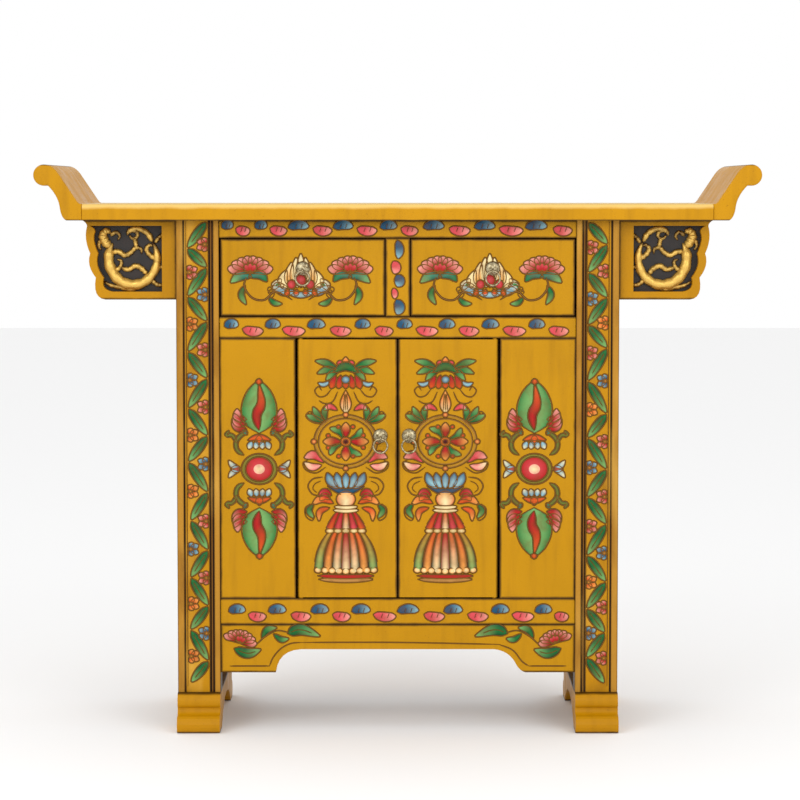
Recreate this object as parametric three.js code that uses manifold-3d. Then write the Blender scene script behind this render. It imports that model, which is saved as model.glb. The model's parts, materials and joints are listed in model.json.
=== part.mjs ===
// Painted altar cabinet with everted scroll ends, two drawers and a pair of doors.
// Millimetres. Origin under the middle of the cabinet, +X to its right as seen from the
// front, +Y to its back, +Z up. The front faces -Y.
import * as THREE from 'three';
import { mergeVertices } from 'three/addons/utils/BufferGeometryUtils.js';
import Module from 'manifold-3d';

const wasm = await Module();
wasm.setup();

// Driving dimensions
const halfLength = 600; // to the outside of the scroll ends
const bodyHalfDepth = 155; // to the front of the front posts
const boardOverhang = 20; // in front of the posts, and behind them
const boardHalfDepth = bodyHalfDepth + boardOverhang;
const scrollEndWidth = 80;
const boardHalfLength = halfLength - scrollEndWidth;
const boardThickness = 27.5;
const boardEdgeRound = 9;
const boardUndersideZ = 852.5;
const tongueLength = 12;
const tongueThickness = 9;

const scrollRadius = 17.5;
const scrollTopZ = 944.5;
const slopeFootX = boardHalfLength + 5;
const slopeHeadInset = 17; // from the scroll's centre to the head of the inner slope
const flangeUndersideX = boardHalfLength + 26;
const flangeEdgeBevel = 3;

const postOuterX = 367.5;
const postWidth = 71.5;
const postInnerX = postOuterX - postWidth;
const postDepth = 45;
const postTenonLength = 18;
const outerBeadWidth = 12.4;
const innerBeadWidth = 10;
const smallBeadWidth = 4;
const grooveWidth = 1.6;
const grooveDepth = 3.5;
const fieldSetback = 1.5;

const runnerHeight = 65;
const runnerOverhang = 33; // of the large roll, in front of the posts
const runnerHalfLength = bodyHalfDepth + runnerOverhang;
const runnerUpperRoll = 16; // how far the upper roll stands out from the post
const runnerCoveZ = 36;
const runnerLowerRollHeight = 29;
const runnerPadLength = 58;
const runnerArchRise = 38;

const railDepth = 40;
const railSetback = 5; // behind the front of the posts
const tenonLength = 15;
const tenonShoulder = 7;
const seatClearance = 0.3;

const apronBottomZ = 97;
const apronArchZ = 136;
const apronTopZ = 178;
const apronThickness = 22;
const apronEndWidth = 92; // of the full-height part at each end
const apronCoveX = postInnerX - apronEndWidth;
const apronCoveSpan = 42;
const bottomRailHeight = 44;
const doorHeight = 435;
const midRailHeight = 36;
const drawerOpeningHeight = 130;

const dividerHalfWidth = 20.2;
const panelThickness = 20;
const fixedPanelWidth = 126;
const fixedPanelInnerX = postInnerX - fixedPanelWidth;
const doorGap = 2.5; // between a door and its fixed panel
const doorEndGap = 2; // over and under a door
const doorMeetingGap = 2.4; // between the two doors
const pivotInset = 6; // from the door's outer edge and front face to its turning line
const pivotRadius = 4;
const pivotLength = 7.5;
const pivotClearance = 0.3;

const drawerSideGap = 1.5;
const drawerPostGap = 2.5;
const drawerEndGap = 1.5;
const drawerFrontThickness = 18;
const drawerWall = 10;
const drawerBottomThickness = 6;
const drawerBottomLift = 7;
const drawerBackGap = 20; // from a shut drawer to the back rail
const drawerSideHeight = 106;
const drawerRunningGap = 0.5;
const guideHeight = 22;
const guideGap = 3;

const sideRailThickness = 32;
const sideRailInset = 5.5; // from the outside of the posts
const sideTopRailHeight = 62.5;
const sidePanelThickness = 12;
const backRailDepth = 35;
const backPanelThickness = 8;
const floorThickness = 16;
const deckThickness = 14;

const spandrelReach = 156; // out from the post along the board
const spandrelDrop = 131.5;
const spandrelThickness = 16;
const spandrelSetback = 15;
const spandrelRim = 13;
const firstNotchIn = 13; // from the outer end of the bracket
const firstNotchDown = 55; // from the underside of the board
const secondNotchIn = 22;
const secondNotchDown = 95;
const bottomLobeIn = 38;
const carvingOut = 73; // from the post to the middle of the carving
const carvingDown = 62;
const carvingScale = spandrelReach / 156; // the scrolls are drawn for a bracket of this reach
const spandrelStile = 24;
const backingThickness = 5;
const backingOverlap = 7;

const pullDomeRadius = 12.3;
const pullDomeHeight = 7;
const pullEyeDrop = 4.5;
const pullStandoff = 11; // from the face to the line that the ring turns on
const eyeTube = 1.3;
const ringTube = 1.75;
const ringRadius = 11.75;
const ringClearance = 0.45;
const doorPullInset = { left: 28.8, right: 18.7 };
const doorPullZ = 494.6;
const drawerPullInset = 0.2; // from the middle of the drawer front
const drawerPullZ = 773;

// Heights and depths that follow
const boardTopZ = boardUndersideZ + boardThickness;
const bottomRailTopZ = apronTopZ + bottomRailHeight;
const midRailBottomZ = bottomRailTopZ + doorHeight;
const deckTopZ = midRailBottomZ + midRailHeight;
const topRailBottomZ = deckTopZ + drawerOpeningHeight;
const railFrontY = -bodyHalfDepth + railSetback;
const railBackY = railFrontY + railDepth;
const postBackY = -bodyHalfDepth + postDepth;
const sideRailOuterX = postOuterX - sideRailInset;
const sideRailInnerX = sideRailOuterX - sideRailThickness;
const sidePanelInnerX = sideRailInnerX + (sideRailThickness - sidePanelThickness) / 2;

// Finishes
const finishes = {
  panel: { color: 0xd09515, roughness: 0.45, metalness: 0 },
  frame: { color: 0xc68d02, roughness: 0.45, metalness: 0 },
  inside: { color: 0x8a6a3c, roughness: 0.8, metalness: 0 },
  black: { color: 0x100604, roughness: 0.6, metalness: 0 },
  gilt: { color: 0xa07818, roughness: 0.35, metalness: 0.6 },
  brass: { color: 0x8c8064, roughness: 0.35, metalness: 1 },
};

const cabinet = new THREE.Group();

function addPiece(parent, name, geometry, finish) {
  const mesh = new THREE.Mesh(geometry, new THREE.MeshStandardMaterial(finishes[finish]));
  mesh.name = name;
  parent.add(mesh);
  return mesh;
}

// Solids: joining and cutting
function toSolid(geometry) {
  const bare = geometry.clone();
  bare.deleteAttribute('normal');
  bare.deleteAttribute('uv');
  const merged = mergeVertices(bare, 1e-4);
  return new wasm.Manifold(new wasm.Mesh({
    numProp: 3,
    vertProperties: new Float32Array(merged.attributes.position.array),
    triVerts: new Uint32Array(merged.index.array),
  }));
}

function toGeometry(solid) {
  const mesh = solid.getMesh();
  const geometry = new THREE.BufferGeometry();
  geometry.setAttribute('position', new THREE.BufferAttribute(mesh.vertProperties, 3));
  geometry.setIndex(new THREE.BufferAttribute(mesh.triVerts, 1));
  return geometry;
}

function join(geometries) {
  const [first, ...rest] = geometries.map(toSolid);
  return toGeometry(rest.reduce((solid, next) => solid.add(next), first));
}

function cut(geometry, tools) {
  return toGeometry(tools.map(toSolid).reduce((solid, tool) => solid.subtract(tool), toSolid(geometry)));
}

function keepWithin(geometry, limit) {
  return toGeometry(toSolid(geometry).intersect(toSolid(limit)));
}

// The same piece for the other side: x changes sign and each triangle turns round.
function mirrored(geometry) {
  const copy = mergeVertices(geometry.clone().deleteAttribute('normal').deleteAttribute('uv'), 1e-4);
  copy.scale(-1, 1, 1);
  const index = copy.index.array;
  for (let corner = 0; corner < index.length; corner += 3) {
    [index[corner], index[corner + 1]] = [index[corner + 1], index[corner]];
  }
  return copy;
}

const sides = [['left', -1], ['right', 1]];

function forSide(side, geometry) {
  return side < 0 ? mirrored(geometry) : geometry;
}

// Basic forms
function block([x0, x1], [y0, y1], [z0, z1]) {
  const geometry = new THREE.BoxGeometry(x1 - x0, y1 - y0, z1 - z0);
  return geometry.translate((x0 + x1) / 2, (y0 + y1) / 2, (z0 + z1) / 2);
}

function plainExtrude(shape, length, curveSegments = 6) {
  return new THREE.ExtrudeGeometry(shape, { depth: length, bevelEnabled: false, curveSegments });
}

// A shape drawn in x and y, drawn out along z.
function upright(shape, [z0, z1]) {
  return plainExtrude(shape, z1 - z0).translate(0, 0, z0);
}

// A shape drawn in x and z, drawn out along y.
function throughDepth(shape, [y0, y1], curveSegments = 6) {
  return plainExtrude(shape, y1 - y0, curveSegments).rotateX(Math.PI / 2).translate(0, y1, 0);
}

// A shape drawn in y and z, drawn out along x.
function acrossWidth(shape, [x0, x1]) {
  const turn = new THREE.Matrix4().makeBasis(
    new THREE.Vector3(0, 1, 0), new THREE.Vector3(0, 0, 1), new THREE.Vector3(1, 0, 0),
  );
  return plainExtrude(shape, x1 - x0, 8).applyMatrix4(turn).translate(x0, 0, 0);
}

// Rails: a block with a stub tenon on each end, and the mortises that take them
const mortises = [];

function rail(axis, spans) {
  const bar = block(...spans);
  const pieces = [bar];
  for (const end of [0, 1]) {
    const outward = end ? 1 : -1;
    const tenon = spans.map(([low, high], direction) => {
      if (direction !== axis) return [low + tenonShoulder, high - tenonShoulder];
      const face = end ? high : low;
      return [face - tenonLength, face + tenonLength];
    });
    const mortise = tenon.map(([low, high], direction) => {
      if (direction !== axis) return [low - seatClearance, high + seatClearance];
      const face = end ? spans[axis][1] : spans[axis][0];
      const bottom = face + outward * (tenonLength + seatClearance);
      return [Math.min(face - outward, bottom), Math.max(face - outward, bottom)];
    });
    pieces.push(block(...tenon));
    mortises.push(block(...mortise));
  }
  return join(pieces);
}

// Top board: a thick plank with a rounded upper edge at front and back, and a tongue on each end.
function buildTopBoard() {
  const edge = boardHalfDepth;
  const outline = new THREE.Shape();
  outline.moveTo(-edge, boardUndersideZ);
  outline.lineTo(edge, boardUndersideZ);
  outline.lineTo(edge, boardTopZ - boardEdgeRound);
  outline.quadraticCurveTo(edge, boardTopZ, edge - boardEdgeRound, boardTopZ);
  outline.lineTo(-edge + boardEdgeRound, boardTopZ);
  outline.quadraticCurveTo(-edge, boardTopZ, -edge, boardTopZ - boardEdgeRound);
  outline.closePath();
  const plank = acrossWidth(outline, [-boardHalfLength, boardHalfLength]);
  const reach = boardHalfLength + tongueLength;
  addPiece(cabinet, 'top_board', join([plank, tongue([-reach, reach], 0)]), 'frame');
}

function tongue(span, clearance) {
  const middleZ = boardUndersideZ + boardThickness / 2;
  const half = tongueThickness / 2 + clearance;
  const depth = boardHalfDepth - 30 + clearance;
  return block(span, [-depth, depth], [middleZ - half, middleZ + half]);
}

// Scroll end: rises from the board's end in an outward slope and rolls over into a scroll.
function buildFlanges() {
  const centre = new THREE.Vector2(halfLength - scrollRadius, scrollTopZ - scrollRadius);
  const outline = new THREE.Shape();
  outline.moveTo(boardHalfLength, boardUndersideZ);
  outline.lineTo(flangeUndersideX, boardUndersideZ);
  outline.quadraticCurveTo(flangeUndersideX + 9, boardUndersideZ + 4, flangeUndersideX + 11, boardTopZ - 4);
  outline.quadraticCurveTo(flangeUndersideX + 14, boardTopZ + 14, centre.x - 6, centre.y - scrollRadius + 1);
  outline.absarc(centre.x, centre.y, scrollRadius, -Math.PI * 0.5, Math.PI * 0.55, false);
  outline.quadraticCurveTo(centre.x - slopeHeadInset * 0.8, centre.y + scrollRadius - 1,
    centre.x - slopeHeadInset - 6, centre.y + 4);
  outline.lineTo(slopeFootX + 3, boardTopZ + 4);
  outline.quadraticCurveTo(slopeFootX, boardTopZ, slopeFootX - 3, boardTopZ);
  outline.lineTo(boardHalfLength, boardTopZ);
  outline.closePath();
  const body = new THREE.ExtrudeGeometry(outline, {
    depth: 2 * (boardHalfDepth - flangeEdgeBevel),
    bevelThickness: flangeEdgeBevel,
    bevelSize: flangeEdgeBevel,
    bevelOffset: -flangeEdgeBevel,
    bevelSegments: 2,
    curveSegments: 8,
  });
  body.rotateX(Math.PI / 2).translate(0, boardHalfDepth - flangeEdgeBevel, 0);
  const groove = tongue([boardHalfLength - 5, boardHalfLength + tongueLength + seatClearance], seatClearance);
  const flange = cut(body, [groove]);
  for (const [name, side] of sides) addPiece(cabinet, `flange_${name}`, forSide(side, flange), 'frame');
}

// Front of a post, from its inner edge outwards: bead, groove, small bead, groove, flat field,
// groove, bead. Each bead is a half round that rises from the bottom of its grooves.
function frontPostSection() {
  const crest = -bodyHalfDepth;
  const valley = crest + grooveDepth;
  const field = crest + fieldSetback;
  const outline = new THREE.Shape();
  const bead = (from, to, top) => {
    const middle = (from + to) / 2;
    outline.lineTo(from, valley);
    outline.quadraticCurveTo(from, top, middle, top);
    outline.quadraticCurveTo(to, top, to, valley);
  };
  const smallFrom = postInnerX + innerBeadWidth + grooveWidth;
  const fieldFrom = smallFrom + smallBeadWidth + grooveWidth;
  const fieldTo = postOuterX - outerBeadWidth - grooveWidth;
  outline.moveTo(postInnerX, postBackY);
  bead(postInnerX, postInnerX + innerBeadWidth, crest);
  bead(smallFrom, smallFrom + smallBeadWidth, crest + 1);
  outline.lineTo(fieldFrom, valley);
  outline.lineTo(fieldFrom, field);
  outline.lineTo(fieldTo, field);
  outline.lineTo(fieldTo, valley);
  bead(postOuterX - outerBeadWidth, postOuterX, crest);
  outline.lineTo(postOuterX, postBackY);
  outline.closePath();
  return outline;
}

function postTenon(front, clearance) {
  const middleY = front * (bodyHalfDepth - postDepth / 2);
  const middleX = (postInnerX + postOuterX) / 2;
  const halfX = (postOuterX - postInnerX) / 2 - 14 + clearance;
  const halfY = postDepth / 2 - 11 + clearance;
  return block(
    [middleX - halfX, middleX + halfX],
    [middleY - halfY, middleY + halfY],
    [runnerHeight - postTenonLength - clearance, runnerHeight + postTenonLength],
  );
}

function buildPosts() {
  const span = [runnerHeight, boardUndersideZ];
  const front = cut(join([upright(frontPostSection(), span), postTenon(-1, 0)]), mortises);
  const plain = block([postInnerX, postOuterX], [-postBackY, bodyHalfDepth], span);
  const back = cut(join([plain, postTenon(1, 0)]), mortises);
  for (const [name, side] of sides) {
    addPiece(cabinet, `front_post_${name}`, forSide(side, front), 'frame');
    addPiece(cabinet, `back_post_${name}`, forSide(side, back), 'frame');
  }
}

// Runner foot: a sled from front to back with an arched underside. Each end has a small roll
// over a cove and a large roll at the floor.
function buildRunners() {
  const lowerRollY = runnerHalfLength;
  const upperRollY = bodyHalfDepth + runnerUpperRoll;
  const coveY = upperRollY - 5;
  const padEndY = lowerRollY - runnerPadLength;
  const rollDrop = runnerHeight - runnerCoveZ - 5;
  const outline = new THREE.Shape();
  const toFront = (y) => -y;
  outline.moveTo(toFront(upperRollY - rollDrop / 2), runnerHeight);
  outline.bezierCurveTo(toFront(upperRollY + 2), runnerHeight, toFront(upperRollY + 2), runnerHeight - rollDrop,
    toFront(coveY), runnerHeight - rollDrop);
  outline.quadraticCurveTo(toFront(coveY - 2), runnerCoveZ - 4, toFront(lowerRollY - 14), runnerLowerRollHeight);
  outline.bezierCurveTo(toFront(lowerRollY + 3), runnerLowerRollHeight, toFront(lowerRollY + 3.5), 2,
    toFront(lowerRollY - 9), 0);
  outline.lineTo(toFront(padEndY), 0);
  outline.bezierCurveTo(toFront(padEndY - 40), runnerArchRise * 0.75, toFront(50), runnerArchRise, 0, runnerArchRise);
  outline.bezierCurveTo(50, runnerArchRise, padEndY - 40, runnerArchRise * 0.75, padEndY, 0);
  outline.lineTo(lowerRollY - 9, 0);
  outline.bezierCurveTo(lowerRollY + 3.5, 2, lowerRollY + 3, runnerLowerRollHeight, lowerRollY - 14, runnerLowerRollHeight);
  outline.quadraticCurveTo(coveY - 2, runnerCoveZ - 4, coveY, runnerHeight - rollDrop);
  outline.bezierCurveTo(upperRollY + 2, runnerHeight - rollDrop, upperRollY + 2, runnerHeight,
    upperRollY - rollDrop / 2, runnerHeight);
  outline.closePath();
  const sled = acrossWidth(outline, [postInnerX, postOuterX]);
  const pockets = [postTenon(-1, seatClearance), postTenon(1, seatClearance)];
  const runner = cut(sled, pockets);
  for (const [name, side] of sides) addPiece(cabinet, `runner_${name}`, forSide(side, runner), 'frame');
}

// Front rails, the divider between the drawers, and the shaped apron
function pivotPoint() {
  return { x: fixedPanelInnerX - doorGap - pivotInset, y: railFrontY + pivotInset };
}

function pivotSocket(side, [z0, z1]) {
  const { x, y } = pivotPoint();
  const hole = new THREE.CylinderGeometry(pivotRadius + pivotClearance, pivotRadius + pivotClearance, z1 - z0, 24);
  return hole.rotateX(Math.PI / 2).translate(side * x, y, (z0 + z1) / 2);
}

function buildFrontRails() {
  const width = [-postInnerX, postInnerX];
  const depth = [railFrontY, railBackY];
  const socketDepth = pivotLength + doorEndGap;
  const top = rail(0, [width, depth, [topRailBottomZ, boardUndersideZ]]);
  const middle = rail(0, [width, depth, [midRailBottomZ, deckTopZ]]);
  const bottom = rail(0, [width, depth, [apronTopZ, bottomRailTopZ]]);
  const above = sides.map(([, side]) => pivotSocket(side, [midRailBottomZ - 1, midRailBottomZ + socketDepth]));
  const below = sides.map(([, side]) => pivotSocket(side, [bottomRailTopZ - socketDepth, bottomRailTopZ + 1]));
  addPiece(cabinet, 'top_rail', top, 'panel');
  addPiece(cabinet, 'mid_rail', cut(middle, above), 'panel');
  addPiece(cabinet, 'bottom_rail', cut(bottom, below), 'panel');
  const divider = block([-dividerHalfWidth, dividerHalfWidth], depth, [deckTopZ, topRailBottomZ]);
  addPiece(cabinet, 'drawer_divider', divider, 'panel');
}

// The apron's cut-out was sawn by hand: its left end is a hollow cove, its right end an ogee.
function buildApron() {
  const outline = new THREE.Shape();
  outline.moveTo(-postInnerX, apronTopZ);
  outline.lineTo(-postInnerX, apronBottomZ);
  outline.lineTo(-apronCoveX, apronBottomZ);
  outline.quadraticCurveTo(-apronCoveX + 4, apronArchZ - 2, -apronCoveX + apronCoveSpan, apronArchZ);
  outline.lineTo(apronCoveX - apronCoveSpan, apronArchZ);
  outline.quadraticCurveTo(apronCoveX - apronCoveSpan / 2 + 4, apronArchZ - 3, apronCoveX - 6, apronBottomZ + 14);
  outline.quadraticCurveTo(apronCoveX, apronBottomZ + 2, apronCoveX + 10, apronBottomZ);
  outline.lineTo(postInnerX, apronBottomZ);
  outline.lineTo(postInnerX, apronTopZ);
  outline.closePath();
  const apron = throughDepth(outline, [railFrontY + 2, railFrontY + 2 + apronThickness]);
  addPiece(cabinet, 'apron', apron, 'panel');
}

function buildFixedPanels() {
  const panel = block([fixedPanelInnerX, postInnerX], [railFrontY, railFrontY + panelThickness],
    [bottomRailTopZ, midRailBottomZ]);
  for (const [name, side] of sides) addPiece(cabinet, `fixed_panel_${name}`, forSide(side, panel), 'panel');
}

// Sides, back and inner boards
function buildSides() {
  const railX = [sideRailInnerX, sideRailOuterX];
  const depth = [postBackY, -postBackY];
  const topZ = boardUndersideZ - sideTopRailHeight;
  const upper = rail(1, [railX, depth, [topZ, boardUndersideZ]]);
  const lower = rail(1, [railX, depth, [apronTopZ, bottomRailTopZ]]);
  const panel = block([sidePanelInnerX, sidePanelInnerX + sidePanelThickness], depth, [bottomRailTopZ, topZ]);
  for (const [name, side] of sides) {
    addPiece(cabinet, `side_top_rail_${name}`, forSide(side, upper), 'frame');
    addPiece(cabinet, `side_bottom_rail_${name}`, forSide(side, lower), 'frame');
    addPiece(cabinet, `side_panel_${name}`, forSide(side, panel), 'frame');
  }
}

function buildBack() {
  const width = [-postInnerX, postInnerX];
  const depth = [-postBackY, -postBackY + backRailDepth];
  const topZ = boardUndersideZ - sideTopRailHeight;
  const panelY = -postBackY + (backRailDepth - backPanelThickness) / 2;
  addPiece(cabinet, 'back_top_rail', rail(0, [width, depth, [topZ, boardUndersideZ]]), 'frame');
  addPiece(cabinet, 'back_bottom_rail', rail(0, [width, depth, [apronTopZ, bottomRailTopZ]]), 'frame');
  addPiece(cabinet, 'back_panel', block(width, [panelY, panelY + backPanelThickness], [bottomRailTopZ, topZ]),
    'frame');
}

function buildInside() {
  const depth = [postBackY, -postBackY];
  const floorX = sideRailInnerX;
  const deckX = sidePanelInnerX;
  const guideZ = [deckTopZ, deckTopZ + guideHeight];
  const outerGuide = block([postInnerX - drawerPostGap + 1, deckX], depth, guideZ);
  const centreHalf = dividerHalfWidth + drawerSideGap - guideGap + 2;
  addPiece(cabinet, 'floor_board', block([-floorX, floorX], depth, [bottomRailTopZ - floorThickness, bottomRailTopZ]),
    'inside');
  addPiece(cabinet, 'drawer_deck', block([-deckX, deckX], depth, [deckTopZ - deckThickness, deckTopZ]), 'inside');
  for (const [name, side] of sides) addPiece(cabinet, `drawer_guide_${name}`, forSide(side, outerGuide), 'inside');
  addPiece(cabinet, 'drawer_guide_centre', block([-centreHalf, centreHalf], depth, guideZ), 'inside');
}

// Spandrels: a bracket board with a lobed outer edge under each overhang of the top board.
// Its edge is three lobes, each a curve from one notch to the next, drawn inset for the window.
function spandrelOutline(inset) {
  const inner = postOuterX + (inset ? spandrelStile : 0);
  const topZ = boardUndersideZ - (inset ? inset * 0.7 : 0);
  const bottomZ = boardUndersideZ - spandrelDrop + inset;
  const outer = postOuterX + spandrelReach - inset;
  const firstNotch = { x: outer - firstNotchIn, z: boardUndersideZ - firstNotchDown };
  const secondNotch = { x: outer - secondNotchIn, z: boardUndersideZ - secondNotchDown };
  const outline = new THREE.Shape();
  outline.moveTo(inner, topZ);
  outline.lineTo(inner, bottomZ);
  outline.lineTo(outer - bottomLobeIn, bottomZ);
  outline.quadraticCurveTo(outer - 16, bottomZ + 2, secondNotch.x, secondNotch.z);
  outline.quadraticCurveTo(outer - 6, secondNotch.z + 20, firstNotch.x, firstNotch.z);
  outline.quadraticCurveTo(outer - 2, firstNotch.z + 24, outer - 8, topZ - 10);
  outline.quadraticCurveTo(outer - 8, topZ - 4, outer, topZ);
  outline.closePath();
  return outline;
}

// Tapered scroll of a carving: a half-round bar that follows a curve and thins to its tip.
function carvedScroll(points, startRadius, endRadius, steps, plumpness = 0) {
  const around = 6;
  const curve = new THREE.CatmullRomCurve3(points.map(([x, z]) => new THREE.Vector3(x, 0, z)));
  const positions = [];
  const index = [];
  for (let step = 0; step <= steps; step += 1) {
    const along = step / steps;
    const centre = curve.getPointAt(along);
    const forward = curve.getTangentAt(along);
    const swell = plumpness * Math.sin(Math.PI * along);
    const radius = startRadius + (endRadius - startRadius) * along + swell;
    for (let corner = 0; corner < around; corner += 1) {
      const angle = (2 * Math.PI * (corner + 0.5)) / around;
      const across = radius * Math.cos(angle);
      positions.push(centre.x - forward.z * across, radius * Math.sin(angle), centre.z + forward.x * across);
    }
  }
  const last = steps * around;
  for (let step = 0; step < steps; step += 1) {
    for (let corner = 0; corner < around; corner += 1) {
      const a = step * around + corner;
      const b = step * around + ((corner + 1) % around);
      index.push(a, a + around, b, b, a + around, b + around);
    }
  }
  for (let corner = 1; corner < around - 1; corner += 1) {
    index.push(0, corner, corner + 1);
    index.push(last, last + corner + 1, last + corner);
  }
  const geometry = new THREE.BufferGeometry();
  geometry.setAttribute('position', new THREE.Float32BufferAttribute(positions, 3));
  geometry.setIndex(index);
  return geometry;
}

function arcPoints(centreX, centreZ, radiusX, radiusZ, fromDegrees, toDegrees, shrink = 1) {
  const count = Math.max(4, Math.round(Math.abs(toDegrees - fromDegrees) / 24));
  return Array.from({ length: count + 1 }, (unused, step) => {
    const along = step / count;
    const angle = THREE.MathUtils.degToRad(fromDegrees + (toDegrees - fromDegrees) * along);
    const size = 1 + (shrink - 1) * along;
    return [centreX + radiusX * size * Math.cos(angle), centreZ + radiusZ * size * Math.sin(angle)];
  });
}

// Gilt dragon scroll: the body rings the window, open at the outer top. The head looks out at
// the open end. Curls and fins grow from the body, and everything is one carving, flat behind.
function dragonCarving() {
  const relief = 1.35; // how much deeper than half round the scrolls stand
  const scrolls = [
    carvedScroll(arcPoints(0, -1, 40, 44, 38, -214, 1.02), 3.2, 5.6, 30, 1.6), // body, from tail to neck
    carvedScroll([[33, 25], [24, 40], [8, 48], [-6, 45], [-10, 36]], 3.6, 2.4, 12), // fin along the top
    carvedScroll(arcPoints(0, 37, 10, 9, 170, -200, 0.45), 2.8, 2.2, 14), // curl at the top
    carvedScroll([[-38, 16], [-46, 26], [-50, 37], [-44, 44], [-36, 40]], 5.2, 3, 10, 1.4), // head
    carvedScroll([[-47, 30], [-55, 27], [-57, 18], [-52, 12]], 3, 1.8, 8), // lower jaw
    carvedScroll([[-38, 36], [-28, 42], [-22, 36], [-26, 28]], 2.6, 1.7, 8), // horn
    carvedScroll([[-40, 6], [-26, 10], [-14, 4], [-4, 8], [4, 16], [13, 14], [14, 5]], 3.4, 2.2, 18), // forelimb
    carvedScroll([[6, 14], [4, 26], [2, 33]], 2.6, 2.4, 6), // stem up to the curl
    carvedScroll([[40, -4], [28, 4], [22, 14], [28, 21], [34, 18]], 3.4, 2, 12), // hook on the outer side
    carvedScroll([[-34, -24], [-22, -16], [-20, -6], [-28, -3]], 3.2, 1.8, 10), // hook on the inner side
    carvedScroll([[-22, -16], [-8, -20], [4, -14], [16, -20], [24, -30]], 2.6, 3, 14), // hind limb
    carvedScroll([[12, -43], [-2, -52], [-20, -50], [-38, -46], [-52, -38]], 3.6, 1.8, 14), // tail under the body
    carvedScroll([[28, -34], [38, -44], [48, -46], [54, -40]], 3, 1.8, 8), // corner leaf, low
    carvedScroll([[36, 24], [44, 36], [52, 42], [56, 36]], 2.8, 1.8, 8), // corner leaf, high
    carvedScroll([[38, -18], [50, -16], [57, -22]], 2.8, 1.6, 6), // side leaf
  ];
  const whole = join(scrolls.map((scroll) => scroll.scale(carvingScale, relief * carvingScale, carvingScale)));
  const behind = block([-spandrelReach, spandrelReach], [0, spandrelReach], [-spandrelReach, spandrelReach]);
  return cut(whole, [behind]);
}

function buildSpandrels() {
  const frontY = -bodyHalfDepth + spandrelSetback;
  const backY = frontY + spandrelThickness;
  const board = throughDepth(spandrelOutline(0), [frontY, backY]);
  const window = throughDepth(spandrelOutline(spandrelRim), [frontY - 1, backY + 1]);
  const frame = cut(board, [window]);
  const rear = throughDepth(spandrelOutline(0), [-backY, -frontY]);
  const backing = throughDepth(spandrelOutline(spandrelRim - backingOverlap), [backY, backY + backingThickness]);
  const windowCentreX = postOuterX + carvingOut;
  const windowCentreZ = boardUndersideZ - carvingDown;
  const scrolls = mirrored(dragonCarving()).translate(windowCentreX, backY, windowCentreZ);
  const limit = throughDepth(spandrelOutline(spandrelRim + seatClearance), [frontY - 20, backY + 1]);
  const carving = keepWithin(scrolls, limit);
  for (const [name, side] of sides) {
    addPiece(cabinet, `spandrel_frame_${name}`, forSide(side, frame), 'frame');
    addPiece(cabinet, `spandrel_back_${name}`, forSide(side, backing), 'black');
    addPiece(cabinet, `spandrel_carving_${name}`, forSide(side, carving), 'gilt');
    addPiece(cabinet, `spandrel_rear_${name}`, forSide(side, rear), 'frame');
  }
}

// Pull: a domed boss with an eye, and a ring that hangs in the eye and swings outwards.
// Built about the point on the face behind the dome's centre, facing -Y.
function pullBoss() {
  const quarter = Array.from({ length: 7 }, (unused, step) => {
    const angle = (Math.PI / 2) * (step / 6);
    return new THREE.Vector2(pullDomeRadius * Math.cos(angle), pullDomeHeight * Math.sin(angle));
  });
  quarter[6].x = 0;
  const dome = new THREE.LatheGeometry([new THREE.Vector2(0, 0), ...quarter], 24);
  dome.rotateX(Math.PI);
  const eyeRadius = ringTube + ringClearance + eyeTube;
  const eye = new THREE.TorusGeometry(eyeRadius, eyeTube, 6, 14).rotateY(Math.PI / 2);
  eye.translate(0, -pullStandoff, -pullEyeDrop);
  const stalkEnd = pullStandoff - ringTube - ringClearance - 0.4;
  const stalk = new THREE.CylinderGeometry(1.7, 2.2, stalkEnd - 2, 12);
  stalk.rotateX(Math.PI).translate(0, -(stalkEnd + 2) / 2, 0).translate(0, 0, -pullEyeDrop);
  return join([dome, stalk, eye]);
}

function addPull(parent, name, x, y, z) {
  const pull = new THREE.Group();
  pull.position.set(x, y, z);
  parent.add(pull);
  addPiece(pull, `pull_boss_${name}`, pullBoss(), 'brass');
  const ring = new THREE.TorusGeometry(ringRadius, ringTube, 8, 24).rotateX(Math.PI / 2);
  const mesh = addPiece(pull, `pull_ring_${name}`, ring, 'brass');
  mesh.position.set(0, -pullStandoff, -pullEyeDrop - ringRadius);
}

// Drawers: a front with two sides, a back and a bottom board held between them
function buildDrawers() {
  for (const [name, side] of sides) {
    const drawer = new THREE.Group();
    cabinet.add(drawer);
    const frontInner = dividerHalfWidth + drawerSideGap;
    const frontOuter = postInnerX - drawerPostGap;
    const boxInner = frontInner + guideGap;
    const boxOuter = frontOuter - guideGap;
    const boxZ = [deckTopZ + drawerRunningGap, deckTopZ + drawerRunningGap + drawerSideHeight];
    const boxY = [railFrontY + drawerFrontThickness, -postBackY - drawerBackGap];
    const bottomZ = [boxZ[0] + drawerBottomLift, boxZ[0] + drawerBottomLift + drawerBottomThickness];
    const between = [boxInner + drawerWall, boxOuter - drawerWall];
    const pieces = {
      front: block([frontInner, frontOuter], [railFrontY, boxY[0]],
        [deckTopZ + drawerEndGap, topRailBottomZ - drawerEndGap]),
      side_inner: block([boxInner, between[0]], boxY, boxZ),
      side_outer: block([between[1], boxOuter], boxY, boxZ),
      back: block(between, [boxY[1] - drawerWall, boxY[1]], boxZ),
      bottom: block(between, [boxY[0], boxY[1] - drawerWall], bottomZ),
    };
    for (const [piece, geometry] of Object.entries(pieces)) {
      const finish = piece === 'front' ? 'panel' : 'inside';
      addPiece(drawer, `drawer_${name}_${piece}`, forSide(side, geometry), finish);
    }
    const pullX = (frontInner + frontOuter) / 2 - drawerPullInset;
    addPull(drawer, `drawer_${name}`, side * pullX, railFrontY, drawerPullZ);
  }
}

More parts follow.
